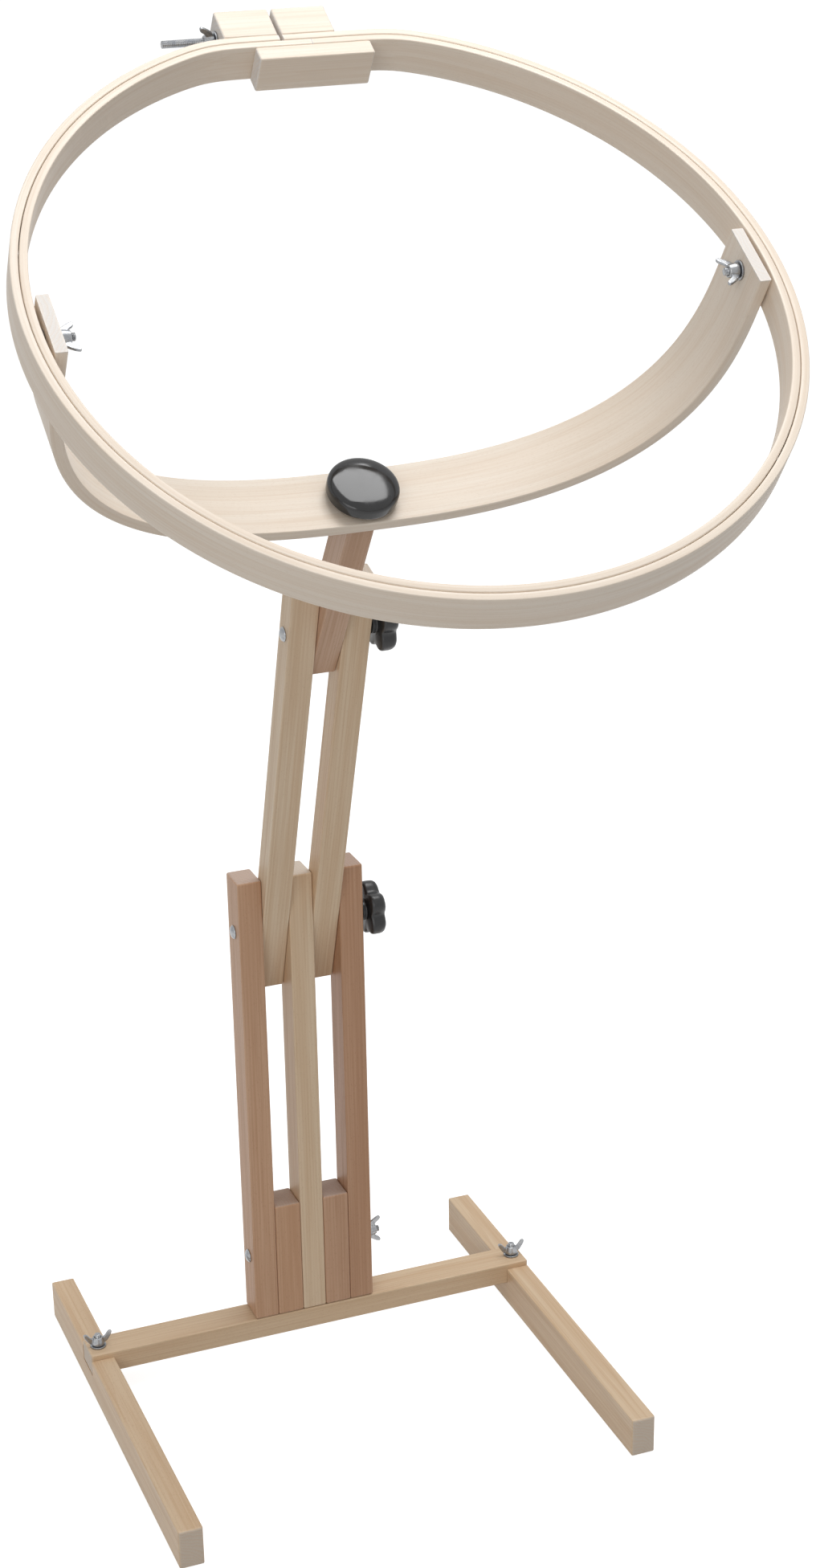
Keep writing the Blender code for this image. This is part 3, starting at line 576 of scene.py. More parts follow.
def set_attribute(mesh, name, kind, values):
    attribute = mesh.attributes.new(name, kind, "POINT")
    key = "value" if kind == "FLOAT" else "vector"
    attribute.data.foreach_set(key, np.asarray(values, np.float32).ravel())


def vertices_of(mesh, place):
    """The mesh's vertices in a place's own axes, one row each."""
    flat = np.zeros(len(mesh.vertices) * 3)
    mesh.vertices.foreach_get("co", flat)
    undo = np.array(place.inverted())
    return flat.reshape(-1, 3) @ undo[:3, :3].T + undo[:3, 3]


lots = iter(range(1, 100))


def mark_grain(mesh, grain, half_size, tone=(1, 1, 1)):
    """Stores what the wood materials read."""
    set_attribute(mesh, "grain", "FLOAT_VECTOR", grain)
    count = len(mesh.vertices)
    set_attribute(mesh, "half_size", "FLOAT_VECTOR", np.tile(half_size, (count, 1)))
    set_attribute(mesh, "tone", "FLOAT_VECTOR", np.tile(tone, (count, 1)))
    lot = next(lots) * 0.618
    set_attribute(mesh, "lot", "FLOAT", np.full(count, lot))


def finish_piece(node, mesh, slot):
    """Puts the mesh in its CAD node's stead, on the node's body."""
    mesh.name = f"{node}_piece"
    mesh.materials.clear()
    mesh.materials.append(surface(slot))
    mesh.polygons.foreach_set("material_index", np.zeros(len(mesh.polygons), np.int32))
    piece = add_object(f"{node}_piece", mesh)
    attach(piece, BODY_OF[node])
    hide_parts(node)
    return piece


def flatten_large_faces(mesh):
    """Large faces are shaded flat, so that the eased edges don't tint them."""
    for face in mesh.polygons:
        if face.area > FLAT_FACE_AREA:
            face.use_smooth = False


TONES = {  # boards cut from darker or lighter stock than the rest of their kind
    "post_right": (0.84, 0.79, 0.76),
    "spacer_left": (0.97, 0.95, 0.92),
    "spacer_right": (0.93, 0.92, 0.93),
    "neck": (1.0, 1.06, 1.15),
    "arm_left": (1.03, 1.05, 1.08),
    "crossbar": (0.98, 0.96, 0.93),
    "foot_left": (0.95, 0.92, 0.88),
    "foot_right": (0.97, 0.95, 0.92),
}
ORDER = {"X": (1, 2, 0), "Y": (2, 0, 1), "Z": (0, 1, 2)}  # which axes are across and along


def board(node, place, slot, along, cutters=(), edge=None, end_edge=None):
    """A straight piece of timber in its node's place, with its grain along X, Y or Z."""
    timber = bpy.context.scene.hoop_timber
    edge = edge or timber.edge
    end_edge = end_edge or timber.end_edge
    low, high = extent(node, place)
    size = high - low
    centre = (low + high) / 2
    shape = bmesh.new()
    bmesh.ops.create_cube(shape, size=1.0, matrix=Matrix.Diagonal((*size, 1.0)))
    mesh = mesh_from(shape, node)
    weights = mesh.attributes.new("bevel_weight_edge", "FLOAT", "EDGE")
    axis = "XYZ".index(along)
    for index, line in enumerate(mesh.edges):
        one, other = (mesh.vertices[corner].co for corner in line.vertices)
        runs_along = abs(one[axis] - other[axis]) > size[axis] / 2
        weights.data[index].value = edge / end_edge if runs_along else 1.0
    obj = add_object(node + "_blank", mesh)
    mesh.transform(place @ Matrix.Translation(centre))
    bevel = obj.modifiers.new("eased", "BEVEL")
    bevel.width = end_edge
    bevel.segments = 4
    bevel.limit_method = "WEIGHT"
    mesh = cut(obj, list(cutters))
    local = vertices_of(mesh, place) - np.array(centre)
    order = list(ORDER[along])
    shade(mesh)
    flatten_large_faces(mesh)
    half_size = [size[which] / 2 for which in order]
    mark_grain(mesh, local[:, order], half_size, TONES.get(node, (1, 1, 1)))
    return finish_piece(node, mesh, slot)


# ---------------------------------------------------------------- bent strips


def new_tree(name, sizes, counts=()):
    """A geometry tree with named inputs for sizes and counts, its graph and its inputs."""
    tree = bpy.data.node_groups.new(name, "GeometryNodeTree")
    face = tree.interface
    face.new_socket("Geometry", in_out="INPUT", socket_type="NodeSocketGeometry")
    for size in sizes:
        face.new_socket(size, in_out="INPUT", socket_type="NodeSocketFloat")
    for count in counts:
        face.new_socket(count, in_out="INPUT", socket_type="NodeSocketInt")
    face.new_socket("Finish", in_out="INPUT", socket_type="NodeSocketMaterial")
    face.new_socket("Geometry", in_out="OUTPUT", socket_type="NodeSocketGeometry")
    graph = Graph(tree)
    return tree, graph, graph.node("NodeGroupInput").outputs


def close_tree(graph, geometry, finish):
    """Ends a tree in real geometry with its material."""
    real = graph.node("GeometryNodeRealizeInstances", {"Geometry": geometry})
    painted = graph.node("GeometryNodeSetMaterial", {
        "Geometry": real.outputs[0], "Material": finish,
    })
    graph.node("NodeGroupOutput", {"Geometry": painted.outputs[0]})


def ring_course(graph, given, index, last):
    """X and Y of a point on a ring's path: round, and straight where it faces +Y."""
    share = graph.maths("DIVIDE", index, last)
    sweep = graph.maths("SUBTRACT", given["End"], given["Start"])
    angle = graph.maths("MULTIPLY_ADD", share, sweep, given["Start"])
    rise = graph.maths("MAXIMUM", graph.maths("SINE", angle), RING_RISE)
    flat = graph.maths("SUBTRACT", given["Radius"], given["Flat drop"])
    straight = graph.maths("DIVIDE", flat, rise)
    reach = graph.maths("SMOOTH_MIN", given["Radius"], straight, RING_BLEND)
    x = graph.maths("MULTIPLY", reach, graph.maths("COSINE", angle))
    y = graph.maths("MULTIPLY", reach, graph.maths("SINE", angle))
    return x, y


def yoke_course(graph, given, index, last):
    """X and Y of a point on the yoke's path: a squarish bow between two straight ends."""
    share = graph.maths("DIVIDE", graph.maths("SUBTRACT", index, 1),
                        graph.maths("SUBTRACT", last, 2))
    angle = graph.maths("MULTIPLY", graph.maths("MAXIMUM", share, 0.0, clamp=True), math.pi)
    power = graph.maths("DIVIDE", 2.0, given["Squareness"])
    across = graph.maths("COSINE", angle)
    far = graph.maths("POWER", graph.maths("ABSOLUTE", across), power)
    x = graph.maths("MULTIPLY", graph.maths("MULTIPLY", far, given["Half span"]),
                    graph.maths("MULTIPLY", graph.maths("SIGN", across), -1.0))
    sag = graph.maths("POWER", graph.maths("ABSOLUTE", graph.maths("SINE", angle)), power)
    sag = graph.maths("MULTIPLY_ADD", sag,
                      graph.maths("SUBTRACT", given["Depth"], given["Straight"]),
                      given["Straight"])
    tip = graph.maths("ADD", graph.maths("COMPARE", index, 0.0, 0.5),
                      graph.maths("COMPARE", index, last, 0.5))
    y = graph.maths("MULTIPLY", sag, graph.maths("SUBTRACT", tip, 1.0))
    return x, y


COURSES = {  # the inputs that each kind of strip adds, and its path
    "ring_strip": (("Radius", "Flat drop", "Start", "End"), ring_course),
    "yoke_strip": (("Half span", "Depth", "Straight", "Squareness"), yoke_course),
}


def strip_tree(name):
    """A strip swept along a path in the XY plane, a ring's or the yoke's.

    The rectangle's rounded section is moved sideways from the path by the inset.
    """
    sizes, course = COURSES[name]
    sizes = ("Thickness", "Width", "Edge", "Inset", *sizes)
    tree, graph, given = new_tree(name, sizes, ("Steps",))
    line = graph.node("GeometryNodeMeshLine", {"Count": given["Steps"]})
    index = graph.node("GeometryNodeInputIndex").outputs[0]
    last = graph.maths("SUBTRACT", given["Steps"], 1)
    x, y = course(graph, given, index, last)
    point = graph.node("ShaderNodeCombineXYZ", {"X": x, "Y": y}).outputs[0]
    placed = graph.node("GeometryNodeSetPosition", {"Geometry": line.outputs[0], "Position": point})
    path = graph.node("GeometryNodeMeshToCurve", {"Mesh": placed.outputs[0]})
    upright = graph.node("GeometryNodeSetCurveNormal", {"Curve": path.outputs[0]}, mode="Z_UP")
    section = graph.node("GeometryNodeCurvePrimitiveQuadrilateral", {
        "Width": given["Thickness"], "Height": given["Width"],
    })
    section = graph.node("GeometryNodeFilletCurve", {
        "Curve": section.outputs[0], "Radius": given["Edge"], "Count": 4, "Limit Radius": True,
    }, mode="POLY")
    offset = graph.node("ShaderNodeCombineXYZ", {"X": given["Inset"]}).outputs[0]
    section = graph.node("GeometryNodeTransform", {
        "Geometry": section.outputs[0], "Translation": offset,
    })
    swept = graph.node("GeometryNodeCurveToMesh", {
        "Curve": upright.outputs[0], "Profile Curve": section.outputs[0], "Fill Caps": True,
    })
    close_tree(graph, swept.outputs[0], given["Finish"])
    return tree


def made_by_tree(tree, values, mesh=None):
    """The plain mesh that a tree makes from the named values."""
    obj = add_object(tree.name, mesh or bpy.data.meshes.new(tree.name))
    modifier = obj.modifiers.new(tree.name, "NODES")
    modifier.node_group = tree
    sockets = {
        item.name: item.identifier for item in tree.interface.items_tree
        if item.in_out == "INPUT"
    }
    for name, value in values.items():
        modifier[sockets[name]] = value
    shape = bmesh.new()
    shape.from_mesh(plain_mesh(obj))
    remove(obj)
    return mesh_from(shape, tree.name)


def strip_grain(mesh, place, path, thickness, width, inset):
    """Stores the grain of a bent strip: through it, across it and along its path."""
    local = vertices_of(mesh, place)
    path = np.array(path)
    start, stop = path[:-1], path[1:]
    step = stop - start
    length = np.linalg.norm(step, axis=1)
    reached = np.concatenate([[0], np.cumsum(length)])
    total = reached[-1]
    grain = np.zeros_like(local)
    for row, point in enumerate(local[:, :2]):
        share = ((point - start) * step).sum(1) / length**2
        share = np.clip(share, 0, 1)
        away = point - start - step * share[:, None]
        nearest = (away**2).sum(1).argmin()
        side = step[nearest, 0] * away[nearest, 1] - step[nearest, 1] * away[nearest, 0]
        through = math.copysign(float(np.linalg.norm(away[nearest])), side)
        along = reached[nearest] + share[nearest] * length[nearest]
        grain[row] = (through - inset, local[row, 2], along - total / 2)
    mark_grain(mesh, grain, (thickness / 2, width / 2, total / 2))


def finish_strip(node, mesh, place, slot, path, thickness, width, inset, cutters):
    """Cuts a strip's holes, marks its grain and puts it in its node's stead."""
    mesh.transform(place)
    mesh = cut(add_object(node + "_blank", mesh), cutters)
    strip_grain(mesh, place, path, thickness, width, inset)
    shade(mesh)
    return finish_piece(node, mesh, slot)


def ring_path(radius, drop, start, end, steps):
    """The ring tree's path, for the grain, without its soft change from round to straight."""
    points = []
    for step in range(steps):
        angle = start + (end - start) * step / (steps - 1)
        reach = min(radius, (radius - drop) / max(math.sin(angle), RING_RISE))
        points.append((reach * math.cos(angle), reach * math.sin(angle)))
    return points


def yoke_path(half_span, depth, straight, squareness, steps):
    """The yoke tree's path, for the grain."""
    power = 2 / squareness
    points = [(-half_span, 0.0)]
    for step in range(steps - 2):
        angle = math.pi * step / (steps - 3)
        across = math.cos(angle)
        x = -math.copysign(abs(across) ** power, across) * half_span
        points.append((x, -straight - abs(math.sin(angle)) ** power * (depth - straight)))
    points.append((half_span, 0.0))
    return points


# ---------------------------------------------------------------- hardware


def thread_tree():
    """Cuts a helical thread into a turned rod between two heights."""
    tree = bpy.data.node_groups.get("cut_thread")
    if tree:
        return tree
    tree, graph, given = new_tree("cut_thread", ("Pitch", "Depth", "From", "To"))
    position = graph.node("GeometryNodeInputPosition").outputs[0]
    x, y, z = graph.node("ShaderNodeSeparateXYZ", {0: position}).outputs
    turn = graph.maths("DIVIDE", graph.maths("ARCTAN2", y, x), 2 * math.pi)
    turns = graph.maths("SUBTRACT", graph.maths("DIVIDE", z, given["Pitch"]), turn)
    groove = graph.maths("PINGPONG", graph.maths("FRACT", turns), 0.5)
    groove = graph.maths("MULTIPLY", groove, 2.0)
    # the groove deepens over its first turn and runs out over its last
    start = graph.node("ShaderNodeMapRange", {
        "Value": z, "From Min": given["From"],
        "From Max": graph.maths("ADD", given["From"], given["Pitch"]),
    }).outputs[0]
    stop = graph.node("ShaderNodeMapRange", {
        "Value": z, "From Min": given["To"],
        "From Max": graph.maths("SUBTRACT", given["To"], given["Pitch"]),
    }).outputs[0]
    inside = graph.maths("MULTIPLY", start, stop)
    sink = graph.maths("MULTIPLY", graph.maths("MULTIPLY", groove, given["Depth"]), inside)
    across = graph.vector("MULTIPLY", position, (1, 1, 0))
    outward = graph.vector("NORMALIZE", across)
    shift = graph.node("ShaderNodeVectorMath", {0: outward}, operation="SCALE")
    graph.feed(shift.inputs["Scale"], graph.maths("MULTIPLY", sink, -1.0))
    cut_rod = graph.node("GeometryNodeSetPosition", {
        "Geometry": given["Geometry"], "Offset": shift.outputs[0],
    })
    close_tree(graph, cut_rod.outputs[0], given["Finish"])
    return tree


def threaded(profile, radius, start, end):
    """A turned bolt from its head's profile to its end, with a thread from start to end."""
    hardware = bpy.context.scene.hoop_hardware
    rows_per_turn = 7
    rows = list(profile)
    rows.append((radius, start))
    count = max(2, round((end - start) / hardware.pitch * rows_per_turn))
    rows += [(radius, start + (end - start) * step / count) for step in range(1, count + 1)]
    tip = end + radius * BOLT_CHAMFER
    rows += [(radius * 0.78, tip), (0, tip)]
    return made_by_tree(thread_tree(), {
        "Pitch": hardware.pitch, "Depth": hardware.depth, "From": start,
        "To": end + 0.0005, "Finish": surface("zinc"),
    }, turned(rows, ROD_STEPS))


def place_turned(node, mesh, place, point, axis, slot="zinc", angle=42):
    """Puts a turned mesh at a point of a place, along an axis, in its node's stead."""
    mesh.transform(place @ Matrix.Translation(point) @ TURN[axis])
    shade(mesh, angle)
    return finish_piece(node, mesh, slot)


def carriage_bolt(node, place, thread, axis="X"):
    """A domed bolt with a square neck, threaded over its last stretch of the given length."""
    low, high = extent(node, place)
    middle = (low + high) / 2
    head = BOLT_HEAD_HEIGHT
    radius = (high.z - low.z) / 2
    end = high.x - low.x - head - BOLT_RADIUS * BOLT_CHAMFER
    dome = rounded([
        (0, -head, 0), (radius * 0.5, -head * 0.93, radius * 0.35),
        (radius * 0.86, -head * 0.5, radius * 0.25), (radius, -head * 0.08, 0.0004),
        (radius * 0.97, 0, 0.0001), (BOLT_RADIUS, 0, 0),
    ])
    rod = threaded(dome, BOLT_RADIUS, end - thread, end)
    obj = add_object("bolt_blank", rod)
    half = SQUARE_NECK / 2
    neck = block_cutter(Matrix.Identity(4), (-half, -half, -0.0006), (half, half, 0.0034))
    boolean(obj, neck, "UNION")
    mesh = plain_mesh(obj)
    remove(obj, neck)
    start = low.x + head if axis == "X" else high.x - head
    return place_turned(node, mesh, place, (start, middle.y, middle.z), axis)


def washer_piece(node, place, axis, bore):
    """A stamped washer: one rim rounded, the other slightly turned over."""
    low, high = extent(node, place)
    middle = (low + high) / 2
    if axis == "Z":
        radius, thickness, start = (high.x - low.x) / 2, high.z - low.z, low.z
        point = (middle.x, middle.y, start)
    else:
        radius, thickness = (high.z - low.z) / 2, high.x - low.x
        point = (low.x if axis == "X" else high.x, middle.y, middle.z)
    ease = min(0.0004, thickness * 0.3)
    profile = rounded([
        (bore, thickness / 2, 0), (bore, 0, ease * 0.6), (radius, 0, ease * 0.5),
        (radius, thickness, ease), (bore, thickness, ease), (bore, thickness * 0.55, 0),
    ])
    washer = turned(profile, WASHER_STEPS, closed=True)
    return place_turned(node, washer, place, point, axis)


def wing_nut_mesh():
    """A cast wing nut, its seat at the origin and its wings along X."""
    hub_radius, top_radius, hub_height = 0.0058, 0.0047, 0.008
    span, height, thickness = 0.027, 0.0125, 0.0023
    bore = BOLT_RADIUS + HOLE_CLEARANCE
    profile = rounded([
        (bore, hub_height / 2, 0), (bore, 0, 0.0003), (hub_radius, 0, 0.0005),
        (hub_radius, hub_height * 0.3, 0.001), (top_radius, hub_height, 0.0008),
        (bore, hub_height, 0.0003), (bore, hub_height * 0.55, 0),
    ])
    hub = add_object("wing_hub", turned(profile, closed=True))
    root = (bore + top_radius) / 2
    outline = [
        (root, 0.0010), (0.0066, 0.0012), (0.0088, 0.0026), (0.0108, 0.0054), (0.0126, 0.0084),
        (0.0134, 0.0105), (span / 2, 0.0114), (0.0131, 0.0122), (0.0122, height),
        (0.0109, 0.0123), (0.0097, 0.0115), (0.0086, 0.0100), (0.0073, 0.0083), (0.0060, 0.0071),
        (root, 0.0065),
    ]
    wings = []
    for side in (-1, 1):
        shape = bmesh.new()
        corners = [shape.verts.new((side * x, -thickness / 2, z)) for x, z in outline]
        lid = shape.faces.new(corners)
        moved = bmesh.ops.extrude_face_region(shape, geom=[lid])["geom"]
        raised = [item for item in moved if isinstance(item, bmesh.types.BMVert)]
        bmesh.ops.translate(shape, verts=raised, vec=Vector((0, thickness, 0)))
        wing = add_object("wing", mesh_from(shape, "wing"))
        boolean(hub, wing, "UNION")
        wings.append(wing)
    cast = hub.modifiers.new("cast", "REMESH")
    cast.mode = "VOXEL"
    cast.voxel_size = 0.00032
    soften = hub.modifiers.new("soften", "SMOOTH")
    soften.factor = 0.5
    soften.iterations = 5
    mesh = plain_mesh(hub)
    remove(hub, *wings)
    return mesh


def wing_nut(node, mesh, place, axis, wings_across=False):
    """A copy of the wing nut on its node's seat."""
    low, high = extent(node, place)
    middle = (low + high) / 2
    copy = mesh.copy()
    if wings_across:
        copy.transform(Matrix.Rotation(math.pi / 2, 4, "Z"))
    if axis == "Z":
        point = (middle.x, middle.y, low.z)
    else:
        point = (low.x if axis == "X" else high.x, middle.y, middle.z)
    return place_turned(node, copy, place, point, axis, angle=60)


def lobed_profile(swell_radius, height):
    """The profile of a lobed knob, each point with the share of the lobes that it has."""
    bore = 0.0048 + HOLE_CLEARANCE
    socket = 0.0133
    hub, hub_height = 0.0095, 0.0045
    under = rounded([
        (0, socket, 0), (bore, socket, 0.0003), (bore, 0, 0.0003), (hub, 0, 0.0008),
        (hub, hub_height, 0.0016), (swell_radius, hub_height, 0.0032),
        (swell_radius, height, 0.0062), (swell_radius * 0.45, height, 0.002), (0, height, 0),
    ])
    made = []
    for radius, level in under:
        share = (radius - hub) / (swell_radius * 0.86 - hub)
        share = min(max(share, 0.0), 1.0)
        outside = level > hub_height * 0.7
        made.append((radius, level, share * share * (3 - 2 * share) if outside else 0.0))
    return made


# ---------------------------------------------------------------- the pieces


def drill_through(node, place, at_z, radius=BOLT_RADIUS):
    """A cutter through a piece along X at a height, through the middle of its depth."""
    low, high = extent(node, place)
    return hole(place, (low.x, 0, at_z), high.x - low.x, radius)


def square_socket(place, x, y, z, inward):
    """A cutter for the recess of a carriage bolt's square neck."""
    half = SQUARE_NECK / 2 + HOLE_CLEARANCE
    ends = sorted((x - inward * OVERRUN, x + inward * 0.0043))
    return block_cutter(place, (ends[0], y - half, z - half), (ends[1], y + half, z + half))


class HOOP_OT_feet(bpy.types.Operator):
    """Makes the two feet, notched for the crossbar and drilled for their bolts"""

    bl_idname = "hoop.build_feet"
    bl_label = "Feet"

    def execute(self, context):
        bar_low, bar_high = extent("crossbar", STAND)
        for side in ("left", "right"):
            low, high = extent(f"foot_{side}", STAND)
            middle = (low.x + high.x) / 2
            notch = block_cutter(
                STAND,
                (low.x - OVERRUN, bar_low.y - HOLE_CLEARANCE, bar_low.z - HOLE_CLEARANCE),
                (high.x + OVERRUN, bar_high.y + HOLE_CLEARANCE, high.z + OVERRUN),
            )
            bolt = hole(STAND, (middle, 0, 0), high.z, BOLT_RADIUS, "Z")
            head_depth, head_radius = 0.006, 0.0072
            pocket = hole(STAND, (middle, 0, -PULL_OUT), PULL_OUT + head_depth, head_radius, "Z",
                          flare=0.0001)
            board(f"foot_{side}", STAND, "light_wood", "Y", [notch, bolt, pocket])
        return {"FINISHED"}


class HOOP_OT_crossbar(bpy.types.Operator):
    """Makes the crossbar, drilled for the feet's bolts and the spacers' screws"""

    bl_idname = "hoop.build_crossbar"
    bl_label = "Crossbar"

    def execute(self, context):
        low, high = extent("crossbar", STAND)
        cutters = []
        for kind, radius in (("foot_bolt", BOLT_RADIUS), ("spacer_screw", SCREW_RADIUS)):
            for side in ("left", "right"):
                bolt_low, bolt_high = extent(f"{kind}_{side}", STAND)
                start = ((bolt_low.x + bolt_high.x) / 2, 0, low.z)
                cutters.append(hole(STAND, start, high.z - low.z, radius, "Z"))
                if kind == "spacer_screw":
                    start = (start[0], 0, low.z - PULL_OUT)
                    head_depth, head_radius = 0.0022, 0.004
                    cutters.append(hole(STAND, start, PULL_OUT + head_depth, head_radius, "Z"))
        board("crossbar", STAND, "light_wood", "X", cutters)
        return {"FINISHED"}


class HOOP_OT_posts(bpy.types.Operator):
    """Makes the three posts and the two spacers between them"""

    bl_idname = "hoop.build_posts"
    bl_label = "Posts and spacers"

    def execute(self, context):
        bolt_low, bolt_high = extent("base_bolt", STAND)
        base_z = (bolt_low.z + bolt_high.z) / 2
        pivot_z = LOWER_PIVOT.z
        for node, slot in (
            ("post_left", "red_wood"), ("post_middle", "light_wood"), ("post_right", "red_wood"),
        ):
            cutters = [drill_through(node, STAND, z) for z in (base_z, pivot_z)]
            if node == "post_left":
                left = extent(node, STAND)[0].x
                cutters += [square_socket(STAND, left, 0, z, 1) for z in (base_z, pivot_z)]
            board(node, STAND, slot, "Z", cutters)
        for side in ("left", "right"):
            node = f"spacer_{side}"
            low, high = extent(node, STAND)
            screw = extent(f"spacer_screw_{side}", STAND)[1].z - low.z
            start = ((low.x + high.x) / 2, 0, low.z - OVERRUN)
            bite = hole(STAND, start, screw + 2 * HOLE_CLEARANCE, SCREW_RADIUS, "Z", flare=0)
            board(node, STAND, "red_wood", "Z", [drill_through(node, STAND, base_z), bite])
        return {"FINISHED"}


class HOOP_OT_arms(bpy.types.Operator):
    """Makes the two arms on the lower pivot"""

    bl_idname = "hoop.build_arms"
    bl_label = "Arms"

    def execute(self, context):
        reach = (UPPER_PIVOT - LOWER_PIVOT).length
        for side in ("left", "right"):
            node = f"arm_{side}"
            cutters = [drill_through(node, ARMS, z) for z in (0.0, reach)]
            if side == "left":
                cutters.append(square_socket(ARMS, extent(node, ARMS)[0].x, 0, reach, 1))
            board(node, ARMS, "light_wood", "Z", cutters)
        return {"FINISHED"}


class HOOP_OT_neck(bpy.types.Operator):
    """Makes the neck that carries the yoke"""

    bl_idname = "hoop.build_neck"
    bl_label = "Neck"

    def execute(self, context):
        top = extent("neck", NECK)[1].z
        foot = extent("yoke_stud", NECK)[0].z
        spare = 0.0002  # room under the stud's foot
        stud = hole(NECK, (0, 0, foot - spare), top - foot + spare, STUD_RADIUS, "Z", flare=0)
        board("neck", NECK, "red_wood", "Z", [drill_through("neck", NECK, 0.0), stud])
        return {"FINISHED"}


class HOOP_OT_yoke(bpy.types.Operator):
    """Bends the yoke strip that carries the hoop"""

    bl_idname = "hoop.build_yoke"
    bl_label = "Yoke"

    def execute(self, context):
        timber = context.scene.hoop_timber
        low, high = extent("yoke", NECK)
        half_span, depth, width = high.x, high.z - low.z, high.y - low.y
        thickness, straight, squareness = 0.0093, 0.02535, 2.65
        steps = timber.strip_steps
        # the strip lies in the neck's XZ plane
        place = NECK @ Matrix.Translation((0, 0, high.z)) @ Matrix.Rotation(math.pi / 2, 4, "X")
        mesh = made_by_tree(strip_tree("yoke_strip"), {
            "Thickness": thickness, "Width": width, "Edge": timber.strip_edge,
            "Inset": -thickness / 2, "Half span": half_span, "Depth": depth,
            "Straight": straight, "Squareness": squareness, "Steps": steps,
            "Finish": surface("pale_wood"),
        })
        pivot_z = (NECK.inverted() @ HOOP_PIVOT).z
        cutters = [hole(NECK, (0, 0, low.z - 0.001), thickness + 0.002, STUD_RADIUS, "Z")]
        for side, axis in ((-1, "X"), (1, "-X")):
            cutters.append(hole(NECK, (side * half_span, 0, pivot_z), thickness, BOLT_RADIUS, axis))
        path = yoke_path(half_span, depth, straight, squareness, steps)
        finish_strip("yoke", mesh, place, "pale_wood", path, thickness, width,
                     thickness / 2, cutters)
        return {"FINISHED"}


def bend_ring(node, radius, drop, span, thickness, height, cutters=()):
    """Bends one of the hoop's rings from a start to an end angle, in its node's stead."""
    timber = bpy.context.scene.hoop_timber
    steps = timber.strip_steps
    mesh = made_by_tree(strip_tree("ring_strip"), {
        "Thickness": thickness, "Width": height, "Edge": timber.strip_edge, "Inset": 0.0,
        "Radius": radius, "Flat drop": drop, "Start": span[0], "End": span[1],
        "Steps": steps, "Finish": surface("pale_wood"),
    })
    path = ring_path(radius, drop, *span, steps)
    finish_strip(node, mesh, HOOP, "pale_wood", path, thickness, height, 0, cutters)


class HOOP_OT_inner_ring(bpy.types.Operator):
    """Bends the inner ring and glues the block over its joint"""

    bl_idname = "hoop.build_inner_ring"
    bl_label = "Inner ring"

    def execute(self, context):
        low, high = extent("inner_ring", HOOP)
        block_low, block_high = extent("joint_block", HOOP)
        outer = high.x
        height = high.z - low.z
        drop = outer - high.y
        thickness = high.y - block_high.y - HOLE_CLEARANCE
        radius = outer - thickness / 2
        seam = math.atan2(radius - drop, (block_low.x + block_high.x) / 2)
        glue_line = 0.00012 / radius  # half of the hairline where the strip's two ends meet
        span = (seam + glue_line, seam - glue_line + 2 * math.pi)
        sink_radius, sink_rim, sink_depth = 0.0062, 0.0003, 0.0034
        cutters = []
        for side, axis in ((-1, "X"), (1, "-X")):
            face = side * outer
            cutters.append(hole(HOOP, (face, 0, 0), thickness + 2 * OVERRUN, BOLT_RADIUS, axis))
            sink = turned([(0, -OVERRUN), (sink_radius, -OVERRUN), (sink_radius, sink_rim),
                           (BOLT_RADIUS, sink_depth), (0, sink_depth)])
            sink.transform(HOOP @ Matrix.Translation((face, 0, 0)) @ TURN[axis])
            cutters.append(add_object("cutter", sink))
        bend_ring("inner_ring", radius, drop, span, thickness, height, cutters)
        board("joint_block", HOOP, "pale_wood", "X", edge=0.001, end_edge=0.0014)
        return {"FINISHED"}


class HOOP_OT_outer_ring(bpy.types.Operator):
    """Bends the split outer ring and glues on the two clamp blocks"""

    bl_idname = "hoop.build_outer_ring"
    bl_label = "Outer ring and clamp blocks"

    def execute(self, context):
        low, high = extent("outer_ring", HOOP)
        left_low, left_high = extent("clamp_block_left", HOOP)
        right_low, right_high = extent("clamp_block_right", HOOP)
        outer = high.x
        height = high.z - low.z
        inner_outer = extent("inner_ring", HOOP)[1].x
        thickness = outer - inner_outer - 2 * HOLE_CLEARANCE
        drop = outer - high.y
        radius = outer - thickness / 2
        flat = radius - drop
        span = (math.atan2(flat, left_high.x), math.atan2(flat, right_low.x) + 2 * math.pi)
        bend_ring("outer_ring", radius, drop, span, thickness, height)
        bolt_low, bolt_high = extent("clamp_washer", HOOP)
        bolt_y = (bolt_low.y + bolt_high.y) / 2
        for side, block_low, block_high in (
            ("left", left_low, left_high), ("right", right_low, right_high),
        ):
            length = block_high.x - block_low.x
            cutters = [hole(HOOP, (block_low.x, bolt_y, 0), length, BOLT_RADIUS)]
            if side == "right":
                cutters.append(square_socket(HOOP, block_high.x, bolt_y, 0, -1))
            board(f"clamp_block_{side}", HOOP, "pale_wood", "X", cutters, 0.001, 0.0014)
        return {"FINISHED"}


